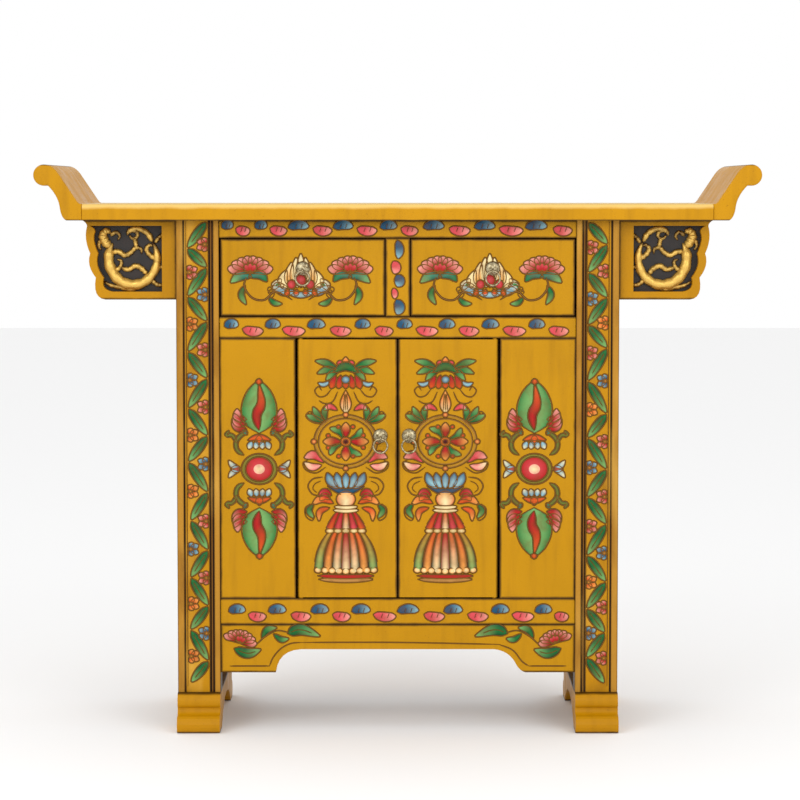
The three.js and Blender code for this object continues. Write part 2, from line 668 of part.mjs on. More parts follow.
// Doors: one board each, turning on round wooden pivots in sockets above and below.
// The outer front edge is rounded about the turning line, so the door clears its panel.
function buildDoors() {
  const pivot = pivotPoint();
  const innerX = doorMeetingGap / 2;
  const outerX = fixedPanelInnerX - doorGap;
  const backY = railFrontY + panelThickness;
  const outline = new THREE.Shape();
  outline.moveTo(innerX - pivot.x, railFrontY - pivot.y);
  outline.lineTo(0, railFrontY - pivot.y);
  outline.absarc(0, 0, pivotInset, -Math.PI / 2, 0, false);
  outline.lineTo(outerX - pivot.x, backY - pivot.y);
  outline.lineTo(innerX - pivot.x, backY - pivot.y);
  outline.closePath();
  const doorZ = [bottomRailTopZ + doorEndGap, midRailBottomZ - doorEndGap];
  const board = upright(outline, doorZ);
  const reach = pivotLength + doorEndGap - seatClearance;
  const pinLength = reach + 10;
  const pin = (middleZ) => new THREE.CylinderGeometry(pivotRadius, pivotRadius, pinLength, 24)
    .rotateX(Math.PI / 2).translate(0, 0, middleZ);
  const pins = [pin(doorZ[0] + pinLength / 2 - reach), pin(doorZ[1] - pinLength / 2 + reach)];
  const leaf = join([board, ...pins]);
  for (const [name, side] of sides) {
    const door = new THREE.Group();
    door.position.set(side * pivot.x, pivot.y, 0);
    cabinet.add(door);
    addPiece(door, `door_${name}`, forSide(side, leaf), 'panel');
    const pullX = side * (doorPullInset[name] - pivot.x);
    addPull(door, `door_${name}`, pullX, railFrontY - pivot.y, doorPullZ);
  }
}

buildTopBoard();
buildFlanges();
buildFrontRails();
buildApron();
buildFixedPanels();
buildSides();
buildBack();
buildPosts();
buildRunners();
buildInside();
buildSpandrels();
buildDrawers();
buildDoors();

export default cabinet;
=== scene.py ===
import json
import math
import bpy
import numpy as np
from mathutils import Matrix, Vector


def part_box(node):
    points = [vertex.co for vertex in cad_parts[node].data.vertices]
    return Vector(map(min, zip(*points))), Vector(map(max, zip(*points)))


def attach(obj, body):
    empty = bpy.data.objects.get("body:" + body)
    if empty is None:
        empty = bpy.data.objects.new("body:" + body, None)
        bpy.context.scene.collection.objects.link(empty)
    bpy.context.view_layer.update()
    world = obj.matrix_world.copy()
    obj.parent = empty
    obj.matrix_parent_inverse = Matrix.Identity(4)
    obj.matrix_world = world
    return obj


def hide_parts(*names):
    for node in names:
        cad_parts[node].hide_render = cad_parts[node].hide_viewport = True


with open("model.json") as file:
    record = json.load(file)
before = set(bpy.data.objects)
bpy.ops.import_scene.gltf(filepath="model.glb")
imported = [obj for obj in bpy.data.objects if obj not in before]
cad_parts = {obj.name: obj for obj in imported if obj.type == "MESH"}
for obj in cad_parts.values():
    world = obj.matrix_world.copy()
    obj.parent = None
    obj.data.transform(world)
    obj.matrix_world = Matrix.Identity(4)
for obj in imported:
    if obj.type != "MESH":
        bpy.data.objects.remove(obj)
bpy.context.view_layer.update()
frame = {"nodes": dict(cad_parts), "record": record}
print("frame loaded:", len(frame["nodes"]), "nodes")

# Where a pixel of the photograph lies on the cabinet's front, in metres
photo = {"metresPerPixel": 0.001657, "middleX": 397.7, "floorY": 735.0}


def frontX(px):
    return (np.asarray(px, float) - photo["middleX"]) * photo["metresPerPixel"]


def frontZ(py):
    return (photo["floorY"] - np.asarray(py, float)) * photo["metresPerPixel"]


def linear(red, green, blue):
    # screen colour to light: the usual power curve
    c = np.array([red, green, blue], float) / 255
    return np.where(c <= 0.04045, c / 12.92, ((c + 0.055) / 1.055) ** 2.4)


# line and crest give the raised lines their dark foot and gold crest, partly their own colours and partly painted
# shadow and painted highlight
tints = {
    "red": linear(168, 18, 14), "deepRed": linear(104, 8, 10), "pink": linear(206, 70, 78),
    "palePink": linear(232, 156, 140), "cream": linear(232, 212, 158), "green": linear(18, 104, 44),
    "darkGreen": linear(6, 48, 30), "paleGreen": linear(122, 168, 96), "blue": linear(26, 74, 104),
    "paleBlue": linear(140, 178, 184), "orange": linear(204, 84, 16), "paleOrange": linear(230, 158, 74),
    "gold": linear(176, 128, 36), "line": linear(30, 12, 5), "crest": linear(132, 88, 18),
    "tan": linear(172, 122, 60), "black": linear(18, 10, 7), "grey": linear(92, 108, 114),
    "olive": linear(104, 108, 30), "teal": linear(52, 116, 92),
}

# --- camera, lights and floor come first
view = {"distance": 4.8, "height": 0.903, "frontY": -0.155, "pitch": 4.15, "yaw": 0.045, "lens": 130.4}


def makeCamera():
    data = bpy.data.cameras.new("camera")
    data.lens = view["lens"]
    data.sensor_width = 36
    camera = bpy.data.objects.new("camera", data)
    camera.location = (0, view["frontY"] - view["distance"], view["height"])
    camera.rotation_euler = (math.radians(90 - view["pitch"]), 0, math.radians(-view["yaw"]))
    bpy.context.collection.objects.link(camera)
    bpy.context.scene.camera = camera


lamps = {
    "keyLeft": {"place": (-2.2, -3.6, 2.6), "size": 2.2, "power": 46},
    "keyRight": {"place": (2.2, -3.6, 2.4), "size": 2.2, "power": 38},
    "front": {"place": (0, -5.6, 1.7), "size": 2.6, "power": 26},
}


def aim(thing, target):
    gaze = np.array(target) - np.array(thing.location)
    flat = math.hypot(gaze[0], gaze[1])
    thing.rotation_euler = (math.pi / 2 + math.atan2(gaze[2], flat), 0, math.atan2(gaze[1], gaze[0]) - math.pi / 2)


def makeLights():
    for name, lamp in lamps.items():
        data = bpy.data.lights.new(name, "AREA")
        data.size = lamp["size"]
        data.energy = lamp["power"]
        thing = bpy.data.objects.new(name, data)
        thing.location = lamp["place"]
        aim(thing, (0, 0, 0.5))
        bpy.context.collection.objects.link(thing)
    world = bpy.data.worlds.new("studio")
    world.use_nodes = True
    world.node_tree.nodes["Background"].inputs["Color"].default_value = (1, 1, 1, 1)
    world.node_tree.nodes["Background"].inputs["Strength"].default_value = 1.0
    bpy.context.scene.world = world
    bpy.context.scene.view_settings.view_transform = "Standard"


def makeFloor():
    size = 14
    mesh = bpy.data.meshes.new("floor")
    mesh.from_pydata([(-size, -size, 0), (size, -size, 0), (size, size, 0), (-size, size, 0)], [], [(0, 1, 2, 3)])
    floor = bpy.data.objects.new("floor", mesh)
    bpy.context.collection.objects.link(floor)
    material = bpy.data.materials.new("floorPale")
    material.use_nodes = True
    shader = material.node_tree.nodes["Principled BSDF"]
    shader.inputs["Base Color"].default_value = (0.9, 0.9, 0.9, 1)
    shader.inputs["Roughness"].default_value = 0.9
    mesh.materials.append(material)


makeCamera()
makeLights()
makeFloor()
print("camera, lights and floor made")


# --- materials
class Nodes:
    # short hand for building one material's node tree
    def __init__(self, name):
        self.material = bpy.data.materials.new(name)
        self.material.use_nodes = True
        self.tree = self.material.node_tree
        self.shader = self.tree.nodes["Principled BSDF"]
        self.place = self.add("ShaderNodeTexCoord").outputs["Object"]

    def add(self, kind, **settings):
        node = self.tree.nodes.new(kind)
        for name, value in settings.items():
            setattr(node, name, value)
        return node

    def feed(self, socket, value):
        if isinstance(value, bpy.types.NodeSocket):
            self.tree.links.new(value, socket)
        elif hasattr(value, "__len__") and len(value) == 3 and socket.type == "RGBA":
            socket.default_value = (*value, 1)
        else:
            socket.default_value = value

    def sum(self, operation, *values):
        node = self.add("ShaderNodeMath", operation=operation)
        for socket, value in zip(node.inputs, values):
            self.feed(socket, value)
        return node.outputs[0]

    def noise(self, scale, detail=3, stretch=None):
        node = self.add("ShaderNodeTexNoise")
        node.inputs["Scale"].default_value = scale
        node.inputs["Detail"].default_value = detail
        place = self.place
        if stretch:
            mapping = self.add("ShaderNodeMapping")
            mapping.inputs["Scale"].default_value = stretch
            self.feed(mapping.inputs["Vector"], place)
            place = mapping.outputs[0]
        self.feed(node.inputs["Vector"], place)
        return node.outputs["Fac"]

    def fade(self, value, low, high, start=0.0, end=1.0):
        node = self.add("ShaderNodeMapRange")
        for socket, number in zip(list(node.inputs)[1:5], (low, high, start, end)):
            socket.default_value = number
        self.feed(node.inputs[0], value)
        return node.outputs[0]

    def blend(self, share, first, second, mode="MIX"):
        node = self.add("ShaderNodeMix", data_type="RGBA", blend_type=mode)
        colours = [socket for socket in node.inputs if socket.type == "RGBA"]
        self.feed(node.inputs[0], share)
        self.feed(colours[0], first)
        self.feed(colours[1], second)
        return [socket for socket in node.outputs if socket.type == "RGBA"][0]

    def axes(self):
        node = self.add("ShaderNodeSeparateXYZ")
        self.feed(node.inputs[0], self.place)
        return node.outputs

    def bump(self, height, distance, strength=0.5):
        node = self.add("ShaderNodeBump")
        node.inputs["Distance"].default_value = distance
        node.inputs["Strength"].default_value = strength
        self.feed(node.inputs["Height"], height)
        self.feed(self.shader.inputs["Normal"], node.outputs[0])


# the darkest brown, at the pieces' edges and in the post's grooves, is partly antique glaze and partly painted shade;
# highlight is a painted highlight for the top board's rounded edge
paint = {
    "frameTone": linear(180, 125, 0), "panelTone": linear(184, 131, 0), "boardTone": linear(190, 134, 0),
    "wear": linear(226, 180, 84), "glaze": linear(104, 62, 8), "glazeAndShade": linear(40, 20, 5),
    "highlight": linear(232, 196, 116),
}


def yellowPaint(name, corners, tone, axesUsed=(0, 2), reach=0.0026, crown=None):
    # antiqued ochre paint: mottled by noise, with a dark band towards the piece's edges that is partly antique glaze
    # and partly painted shade, measured as the least distance from the point to the sides of the piece's box; crown is
    # the height above which a pale painted highlight is blended in, for light on the board's rounded upper edge
    low, high = corners
    made = Nodes(name)
    parts = made.axes()
    nearest = None
    for axis in axesUsed:
        for away in (made.sum("SUBTRACT", parts[axis], float(low[axis])),
                     made.sum("SUBTRACT", float(high[axis]), parts[axis])):
            nearest = away if nearest is None else made.sum("MINIMUM", nearest, away)
    ragged = made.sum("MULTIPLY", made.noise(38, 4), reach * 1.1)
    edge = made.fade(made.sum("SUBTRACT", nearest, ragged), -reach * 0.2, reach, 0.9, 0.0)
    mottle = made.fade(made.noise(7, 5), 0.35, 0.7, 0.0, 0.32)
    colour = made.blend(mottle, tone, tone * 0.72)
    streaks = made.fade(made.noise(60, 5, (1, 1, 0.12)), 0.5, 0.78, 0.0, 0.22)
    colour = made.blend(streaks, colour, paint["glaze"])
    specks = made.fade(made.noise(420, 2), 0.68, 0.76, 0.0, 0.5)
    colour = made.blend(specks, colour, paint["glaze"])
    # painted shade and antique glaze: darkest brown towards the piece's edges
    colour = made.blend(edge, colour, paint["glazeAndShade"])
    # pale painted highlight above the crown height, for light on the board's rounded upper edge
    if crown:
        height = made.sum("ADD", parts[2], made.fade(made.noise(30, 4), 0.3, 0.7, -0.001, 0.001))
        colour = made.blend(made.fade(height, crown, crown + 0.005, 0.0, 0.75), colour, paint["highlight"])
    made.shader.inputs["Specular IOR Level"].default_value = 0.14
    made.feed(made.shader.inputs["Base Color"], colour)
    made.feed(made.shader.inputs["Roughness"], made.fade(made.noise(24, 3), 0.3, 0.7, 0.34, 0.52))
    made.bump(made.noise(150, 4), 0.0006, 0.35)
    return made.material


def postPaint(name, side):
    # the post's paint changes across its width: worn gold beads between dark grooves, ochre field; the grooves' dark
    # brown is partly glaze and partly painted shade
    made = Nodes(name)
    across = made.sum("MULTIPLY", made.axes()[0], float(side))
    stops = made.add("ShaderNodeValToRGB")
    ramp = stops.color_ramp
    inner, outer = 0.296, 0.3675
    bands = [(0.0, "groove"), (0.02, "bead"), (0.12, "bead"), (0.145, "groove"), (0.17, "groove"), (0.19, "small"),
             (0.21, "groove"), (0.245, "groove"), (0.27, "field"), (0.79, "field"), (0.81, "groove"), (0.835, "groove"),
             (0.86, "bead"), (0.975, "bead"), (1.0, "groove")]
    # groove: dark brown, partly glaze and partly painted shade in the recess
    shades = {"groove": paint["glazeAndShade"], "bead": linear(172, 122, 38), "small": linear(128, 84, 22),
              "field": paint["frameTone"]}
    while len(ramp.elements) < len(bands):
        ramp.elements.new(0.5)
    for element, (place, band) in zip(ramp.elements, bands):
        element.position = place
        element.color = (*shades[band], 1)
    made.feed(stops.inputs[0], made.fade(across, inner, outer))
    colour = stops.outputs[0]
    worn = made.fade(made.noise(30, 5, (1, 1, 0.3)), 0.48, 0.7, 0.0, 0.5)
    colour = made.blend(worn, colour, paint["glaze"])
    rubbed = made.fade(made.noise(18, 4, (1, 1, 0.2)), 0.55, 0.72, 0.0, 0.35)
    colour = made.blend(rubbed, colour, paint["wear"])
    made.feed(made.shader.inputs["Base Color"], colour)
    made.shader.inputs["Roughness"].default_value = 0.42
    made.shader.inputs["Specular IOR Level"].default_value = 0.14
    made.bump(made.noise(150, 4), 0.0006, 0.35)
    return made.material


def bareWood(name):
    # long grain along x and y: stretched noise between two browns
    made = Nodes(name)
    grain = made.noise(90, 6, (0.08, 0.6, 1))
    colour = made.blend(made.fade(grain, 0.35, 0.65), linear(150, 112, 66), linear(112, 78, 42))
    made.feed(made.shader.inputs["Base Color"], colour)
    made.feed(made.shader.inputs["Roughness"], made.fade(grain, 0.3, 0.7, 0.6, 0.8))
    made.bump(grain, 0.0008, 0.4)
    return made.material


def blackPaint(name):
    made = Nodes(name)
    colour = made.blend(made.fade(made.noise(40, 4), 0.4, 0.7), linear(14, 8, 5), linear(34, 20, 12))
    made.feed(made.shader.inputs["Base Color"], colour)
    made.shader.inputs["Roughness"].default_value = 0.6
    made.bump(made.noise(120, 3), 0.0006, 0.3)
    return made.material


def gilding(name, backY, depth):
    # gold leaf, bright towards the crests and dark towards the backing board: the share follows the distance
    # from the backing board
    made = Nodes(name)
    height = made.fade(made.sum("SUBTRACT", float(backY), made.axes()[1]), 0.0, depth)
    heightShare = made.sum("ADD", height, made.fade(made.noise(110, 4), 0.3, 0.7, -0.25, 0.25))
    colour = made.blend(made.fade(heightShare, 0.15, 0.75), linear(70, 42, 8), linear(214, 172, 82))
    made.feed(made.shader.inputs["Base Color"], colour)
    made.shader.inputs["Metallic"].default_value = 0.55
    made.feed(made.shader.inputs["Roughness"], made.fade(made.noise(90, 3), 0.3, 0.7, 0.26, 0.46))
    made.bump(made.noise(260, 4), 0.0007, 0.4)
    return made.material


def agedBrass(name):
    made = Nodes(name)
    patches = made.fade(made.noise(260, 4), 0.4, 0.65)
    made.feed(made.shader.inputs["Base Color"], made.blend(patches, linear(176, 164, 132), linear(104, 88, 60)))
    made.shader.inputs["Metallic"].default_value = 0.9
    made.feed(made.shader.inputs["Roughness"], made.fade(made.noise(180, 3), 0.3, 0.7, 0.24, 0.42))
    made.bump(made.noise(700, 3), 0.0002, 0.4)
    return made.material


def motifPaint():
    # the raised ornament: colour comes from the sheet's tint attribute (on the raised lines it holds painted highlight
    # and painted shadow as well), dulled by a thin brown glaze
    made = Nodes("motifPaint")
    tint = made.add("ShaderNodeAttribute", attribute_name="tint").outputs["Color"]
    dull = made.fade(made.noise(70, 5), 0.42, 0.72, 0.0, 0.4)
    made.shader.inputs["Specular IOR Level"].default_value = 0.2
    colour = made.blend(dull, tint, paint["glaze"])
    made.feed(made.shader.inputs["Base Color"], colour)
    made.feed(made.shader.inputs["Roughness"], made.fade(made.noise(30, 3), 0.3, 0.7, 0.34, 0.5))
    made.bump(made.noise(300, 3), 0.0004, 0.35)
    return made.material


def dressNode(node, material, bevel=0.0):
    thing = frame["nodes"][node]
    thing.data.materials.clear()
    thing.data.materials.append(material)
    if bevel:
        weld = thing.modifiers.new("weld", "WELD")
        weld.merge_threshold = 0.00002
        soften = thing.modifiers.new("softEdges", "BEVEL")
        soften.width = bevel
        soften.segments = 2
        soften.limit_method = "ANGLE"
        soften.angle_limit = math.radians(40)


softEdges = {"board": 0.002, "panel": 0.0012, "inside": 0.0008}


def dressNodes():
    black = blackPaint("blackPaint")
    wood = bareWood("bareWood")
    slots = {entry["node"]: entry["material_slot"] for entry in frame["record"]["subparts"]}
    for node, slot in slots.items():
        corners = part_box(node)
        if slot == "bare_wood":
            dressNode(node, wood, softEdges["inside"])
        elif slot == "black_paint":
            dressNode(node, black)
        elif node.startswith("front_post"):
            dressNode(node, postPaint("paint_" + node, -1 if node.endswith("left") else 1))
        elif slot == "painted_panel":
            wide = (0, 2)
            dressNode(node, yellowPaint("paint_" + node, corners, paint["panelTone"], wide), softEdges["panel"])
        elif slot == "painted_frame":
            tone = paint["boardTone"] if node.startswith(("top", "flange")) else paint["frameTone"]
            axesUsed = {"side_": (1, 2), "runne": (2,), "flang": (2,), "top_b": (2,)}.get(node[:5], (0, 2))
            reach = 0.0015 if node.startswith(("top_board", "flange")) else 0.0026
            # the top board gets a pale painted highlight above this height
            crown = 0.8705 if node == "top_board" else None
            made = yellowPaint("paint_" + node, corners, tone, axesUsed, reach, crown)
            dressNode(node, made, softEdges["panel"])


dressNodes()
print("nodes dressed")


# --- grids and strokes
def gridFaces(rows, columns):
    # indices of the quads of a grid of points, row by row
    corner = (np.arange(rows - 1)[:, None] * columns + np.arange(columns - 1)).ravel()
    return np.stack([corner, corner + 1, corner + columns + 1, corner + columns], 1)


def smoothPath(points, count):
    # Catmull-Rom curve: each piece is the cubic through two points whose slopes come from their neighbours
    p = np.asarray(points, float)
    if len(p) == 2:
        along = np.linspace(0, 1, count)[:, None]
        return p[0] * (1 - along) + p[1] * along
    ends = np.vstack([2 * p[0] - p[1], p, 2 * p[-1] - p[-2]])
    t = np.linspace(0, len(p) - 1, count)
    k = np.minimum(t.astype(int), len(p) - 2)
    f = (t - k)[:, None]
    a, b, c, d = ends[k], ends[k + 1], ends[k + 2], ends[k + 3]
    return 0.5 * (2 * b + (c - a) * f + (2 * a - 5 * b + 4 * c - d) * f ** 2 + (3 * b - a - 3 * c + d) * f ** 3)


def sideways(path):
    # unit vectors across a path
    slope = np.gradient(path, axis=0)
    slope /= np.maximum(np.linalg.norm(slope, axis=1, keepdims=True), 1e-9)
    return np.stack([-slope[:, 1], slope[:, 0]], 1)


def newSheet(planeY):
    return {"planeY": planeY, "points": [], "faces": [], "tints": [], "count": 0}


def addGrid(sheet, px, py, lift, tint):
    # one patch of relief: photograph points on the sheet's plane, raised towards the front by lift (metres)
    x, z = frontX(px), frontZ(py)
    rows, columns = x.shape
    points = np.stack([x, sheet["planeY"] - lift, z], 2).reshape(-1, 3)
    faces = gridFaces(rows, columns)
    a, b, d = points[faces[:, 0]], points[faces[:, 1]], points[faces[:, 3]]
    if np.cross(b - a, d - a)[:, 1].sum() > 0:
        faces = faces[:, ::-1]
    sheet["points"].append(points)
    sheet["faces"].append(faces + sheet["count"])
    sheet["tints"].append(np.broadcast_to(tint, (rows, columns, 3)).reshape(-1, 3))
    sheet["count"] += rows * columns


relief = {"petalLift": 0.0011, "lineLift": 0.0015, "lineHalfWidth": 0.95, "sink": 0.0002}


def stroke(sheet, points, width=None, count=None, tip=0.35, base=0.0):
    # raised line: a half round carried along a path, dark at its foot and gold on its crest; the dark foot is partly
    # the line's own dark outline and partly painted shadow, the gold crest partly the line's own gold and partly
    # painted highlight
    width = relief["lineHalfWidth"] if width is None else width
    count = count or max(6, 5 * len(points))
    path = smoothPath(points, count)
    across = sideways(path)
    v = np.linspace(-1, 1, 5)
    along = np.linspace(0, 1, count)
    taper = np.minimum(1, tip + 6 * np.minimum(along, 1 - along)) * width
    grid = path[:, None] + across[:, None] * (v[:, None] * taper[:, None, None])
    lift = np.broadcast_to(relief["lineLift"] * (1 - v ** 2), grid.shape[:2]) - relief["sink"] + base
    # share of the crest colour across the line: painted highlight on the crest and painted shadow at the foot, over the
    # line's own gold and dark outline
    shade = (1 - np.abs(v))[None, :, None] ** 1.6
    tint = tints["line"] * (1 - shade) + tints["crest"] * shade
    addGrid(sheet, grid[..., 0], grid[..., 1], lift, np.broadcast_to(tint, (*grid.shape[:2], 3)))


def petal(sheet, points, halfWidth, edge, core, tip=None, fat=0.5, outline=True, rib=None, height=1.0, blunt=0.75,
          base=0.0):
    # petal or leaf: a path with a half width that swells from nothing to halfWidth (at the share fat of the
    # length) and back, domed across, tinted from core to edge across and towards tip along
    rows, columns = 15, 7
    path = smoothPath(points, rows)
    across = sideways(path)
    along = np.linspace(0, 1, rows)
    warped = along ** (math.log(0.5) / math.log(fat))
    width = halfWidth * np.sin(np.pi * warped) ** blunt
    v = np.linspace(-1, 1, columns)
    grid = path[:, None] + across[:, None] * (v[:, None] * width[:, None, None])
    dome = np.sqrt(np.maximum(0, 1 - v[None, :] ** 2)) * np.minimum(1, width / max(halfWidth, 1e-6))[:, None]
    lift = relief["petalLift"] * height * dome - relief["sink"] + base
    centre = (1 - np.abs(v))[None, :, None] ** 0.7
    tint = tints[edge] * (1 - centre) + tints[core] * centre
    if tip:
        share = np.clip((along - 0.35) / 0.65, 0, 1)[:, None, None] ** 1.3
        tint = tint * (1 - share) + tints[tip] * share
    addGrid(sheet, grid[..., 0], grid[..., 1], lift, tint)
    if outline:
        around = np.vstack([grid[:, 0], grid[::-1, -1][1:]])
        stroke(sheet, around[::2] if len(around) > 20 else around, relief["lineHalfWidth"] * 0.85, 30, 0.7, base)
    if rib:
        stroke(sheet, path[2:-2:3], relief["lineHalfWidth"] * 0.6, 10, 0.3, base + 0.0006)


def disc(sheet, centre, radiusX, radiusY, inner, outer, height=1.0, hole=0.0, outline=True, base=0.0):
    # round boss or ring: polar grid, domed, tinted from inner to outer
    turn = np.linspace(0, 2 * np.pi, 33)
    share = np.linspace(hole, 1, 6)
    px = centre[0] + radiusX * share[:, None] * np.cos(turn)
    py = centre[1] + radiusY * share[:, None] * np.sin(turn)
    mid = (share - hole) / (1 - hole)
    profile = np.sqrt(1 - mid ** 2) if hole == 0 else np.sin(np.pi * mid) ** 0.6
    lift = np.broadcast_to((relief["petalLift"] * height * profile - relief["sink"] + base)[:, None], px.shape)
    tint = tints[inner] * (1 - mid[:, None, None]) + tints[outer] * mid[:, None, None]
    addGrid(sheet, px, py, lift, np.broadcast_to(tint, (*px.shape, 3)))
    if outline:
        loop = np.stack([centre[0] + radiusX * np.cos(turn), centre[1] + radiusY * np.sin(turn)], 1)
        stroke(sheet, loop[::2], None, 36, 1, base)


def curl(centre, radius, start, turns, shrink=0.25, flip=1, count=12):
    # points of a spiral that closes from radius to shrink times radius
    along = np.linspace(0, 1, count)
    angle = math.radians(start) + flip * 2 * np.pi * turns * along
    size = radius * (1 + (shrink - 1) * along)
    return np.stack([centre[0] + size * np.cos(angle), centre[1] + size * np.sin(angle)], 1).tolist()


def meshFrom(name, points, faces, tint=None):
    mesh = bpy.data.meshes.new(name)
    mesh.from_pydata(points.tolist(), [], faces.tolist())
    if tint is not None:
        layer = mesh.attributes.new("tint", "FLOAT_COLOR", "POINT")
        layer.data.foreach_set("color", np.hstack([tint, np.ones((len(tint), 1))]).astype(np.float32).ravel())
    mesh.polygons.foreach_set("use_smooth", np.ones(len(mesh.polygons), bool))
    mesh.update()
    thing = bpy.data.objects.new(name, mesh)
    bpy.context.collection.objects.link(thing)
    return thing


ornament = motifPaint()


def hang(sheet, name, body):
    piece = meshFrom(name, np.vstack(sheet["points"]), np.vstack(sheet["faces"]), np.vstack(sheet["tints"]))
    piece.data.materials.append(ornament)
    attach(piece, body)
    return piece


def flipped(points, middle):
    return [[2 * middle - x, y] for x, y in points]


planes = {"post": -0.1535, "panel": -0.150, "apron": -0.148}

# --- posts: a zigzag of leaves with half flowers in the triangles
posts = {
    "left": {
        "nodes": [(207, 221.5), (185.3, 248.3), (209.3, 267.7), (186.2, 296.4), (207.5, 321.4), (187.1, 351.9),
                  (209.3, 378.5), (188, 408.6), (209.3, 436.3), (187.6, 462.7), (210.2, 493.2), (189.9, 521.8),
                  (209.6, 551.6), (189.5, 579.6), (210.2, 608.2), (189.2, 632.5), (209.6, 664.2), (189.2, 686.5)],
        "flowers": "red red blue orange red blue red orange blue orange red blue red orange blue orange".split(),
        "edges": (186.0, 208.4)},
    "right": {
        "nodes": [(587.2, 222.4), (609.6, 244.6), (587.2, 272.8), (609.6, 297.8), (586.8, 325.1), (608, 348.2),
                  (586.6, 381.3), (608, 414.1), (586.2, 438.6), (608.2, 470.1), (586, 498.3), (607.3, 525.5),
                  (586.2, 557.2), (607.3, 584), (585.8, 611.3), (606.2, 635.6), (585.4, 661.1), (606.2, 687.5)],
        "flowers": "red red blue orange red blue orange red blue red red blue orange red blue red".split(),
        "edges": (586.6, 609.0)},
}


def halfFlower(sheet, foot, inward, hue):
    pale = {"red": "palePink", "blue": "paleBlue", "orange": "paleOrange"}[hue]
    for degrees, length in ((-64, 7.6), (-24, 10.4), (24, 10.4), (64, 7.6)):
        angle = math.radians(degrees)
        end = (foot[0] + inward * length * math.cos(angle), foot[1] + length * math.sin(angle))
        petal(sheet, [foot, end], 3.1, hue, hue, pale, 0.6)
    disc(sheet, (foot[0] + inward * 1.6, foot[1]), 1.6, 1.6, "gold", "orange", 1.4)


def paintPosts():
    for side, post in posts.items():
        sheet = newSheet(planes["post"])
        nodes = post["nodes"]
        inset = 1.8
        low, high = post["edges"][0] + inset, post["edges"][1] - inset
        for start, end in zip(nodes, nodes[1:]):
            a = (min(max(start[0], low), high), start[1] + 0.6)
            b = (min(max(end[0], low), high), end[1] - 0.6)
            petal(sheet, [a, b], 4.9, "darkGreen", "green", "paleGreen", 0.45, rib=True, blunt=0.6)
        for k, hue in enumerate(post["flowers"]):
            first, third = nodes[k], nodes[k + 2]
            onLeft = first[0] < sum(post["edges"]) / 2
            foot = (low if onLeft else high, (first[1] + third[1]) / 2)
            halfFlower(sheet, foot, 1 if onLeft else -1, hue)
        for edge in post["edges"]:
            stroke(sheet, [(edge, 221), (edge, 455), (edge, 690)], 0.5, 40)
        hang(sheet, "post_painting_" + side, "carcass")


paintPosts()

# --- rails: running petals, blue above and pink below
rails = {
    "top": {"blueY": 226.4, "pinkY": 230.0,
            "spans": [(221, 234), (235, 251), (254, 268), (269, 288), (287, 310), (312, 333), (332, 354), (356, 378),
                      (379, 398), (400, 419), (422, 445), (448, 471), (473, 496), (498, 524), (524, 548), (552, 573)]},
    "mid": {"blueY": 325.2, "pinkY": 330.4,
            "spans": [(223, 239), (241, 264), (264, 281), (281, 306), (306, 326), (329, 352), (354, 371), (374, 394),
                      (396, 413), (415, 439), (438, 456), (458, 480), (481, 500), (502, 527), (528, 546), (548, 570)]},
    "low": {"blueY": 613.0, "pinkY": 618.6,
            "spans": [(226, 245), (246, 266), (266, 286), (289, 311), (309, 329), (331, 351), (350, 371), (372, 397),
                      (396, 420), (423, 446), (443, 464), (467, 490), (491, 511), (512, 536), (535, 554), (555, 571)]},
}


def runningPetal(sheet, left, right, y, hue):
    arch = -2.6 if hue == "blue" else 2.2
    pale = "paleBlue" if hue == "blue" else "palePink"
    deep = "blue" if hue == "blue" else "pink"
    path = [(left, y + 1.5 * np.sign(-arch)), ((left + right) / 2, y + arch * 0.6), (right, y + 0.5)]
    petal(sheet, path, 4.9, deep, deep, pale, 0.5, blunt=0.45)
    for share in (0.35, 0.62):
        x = left + (right - left) * share
        stroke(sheet, [(x, y + 2.2), (x + 1.6, y - 2.4)], 0.4, 5, base=0.0008)


def paintRails():
    sheet = newSheet(planes["panel"])
    for rail in rails.values():
        for k, (left, right) in enumerate(rail["spans"]):
            hue = "blue" if k % 2 == 0 else "pink"
            runningPetal(sheet, left + 0.8, right - 0.8, rail["blueY"] if hue == "blue" else rail["pinkY"], hue)
    for x0, y0, x1, y1, hue in ((394, 240, 403, 259, "blue"), (390, 261, 400, 274, "pink"), (393, 275, 404, 287, "blue"),
                                (390.5, 288, 397, 299, "pink"), (393, 299.5, 404, 315, "blue")):
        pale = {"blue": "paleBlue", "pink": "palePink"}[hue]
        petal(sheet, [(x0 + 3, y0), ((x0 + x1) / 2 + 1, (y0 + y1) / 2), (x0 + 4, y1)], (x1 - x0) / 2, hue, hue, pale,
              0.5, blunt=0.55)
    hang(sheet, "rail_painting", "carcass")


paintRails()
print("posts and rails painted")

# --- drawers: a peony at each side, scrolling stems and leaves, and a flaming jewel in the middle
drawers = {"left": {"flowers": (250.2, 350.3), "jewel": 300.8}, "right": {"flowers": (440, 542), "jewel": 489.8}}


def peony(sheet, x, y, size=1.0, lean=0):
    # ragged fan of petals over a cup, pale at the rim
    for degrees, reach in ((-82, 23), (82, 23), (-62, 21), (62, 21), (-40, 19), (40, 19), (-14, 18.5), (14, 18.5)):
        angle = math.radians(degrees + lean)
        end = (x + size * reach * math.sin(angle), y - size * (reach * 0.82 * math.cos(angle) + 1.5))
        middle = (x + size * reach * 0.5 * math.sin(angle), y - size * (reach * 0.52 * math.cos(angle) + 0.5))
        petal(sheet, [(x, y + 1), middle, end], 4.8 * size, "deepRed", "red", "palePink", 0.68, blunt=0.6)
    for degrees in (-32, 0, 32):
        angle = math.radians(degrees + lean)
        end = (x + size * 10 * math.sin(angle), y - size * 9.5 * math.cos(angle))
        petal(sheet, [(x, y + 1), end], 3.2 * size, "deepRed", "red", "pink", 0.6, height=1.7, base=0.0004)


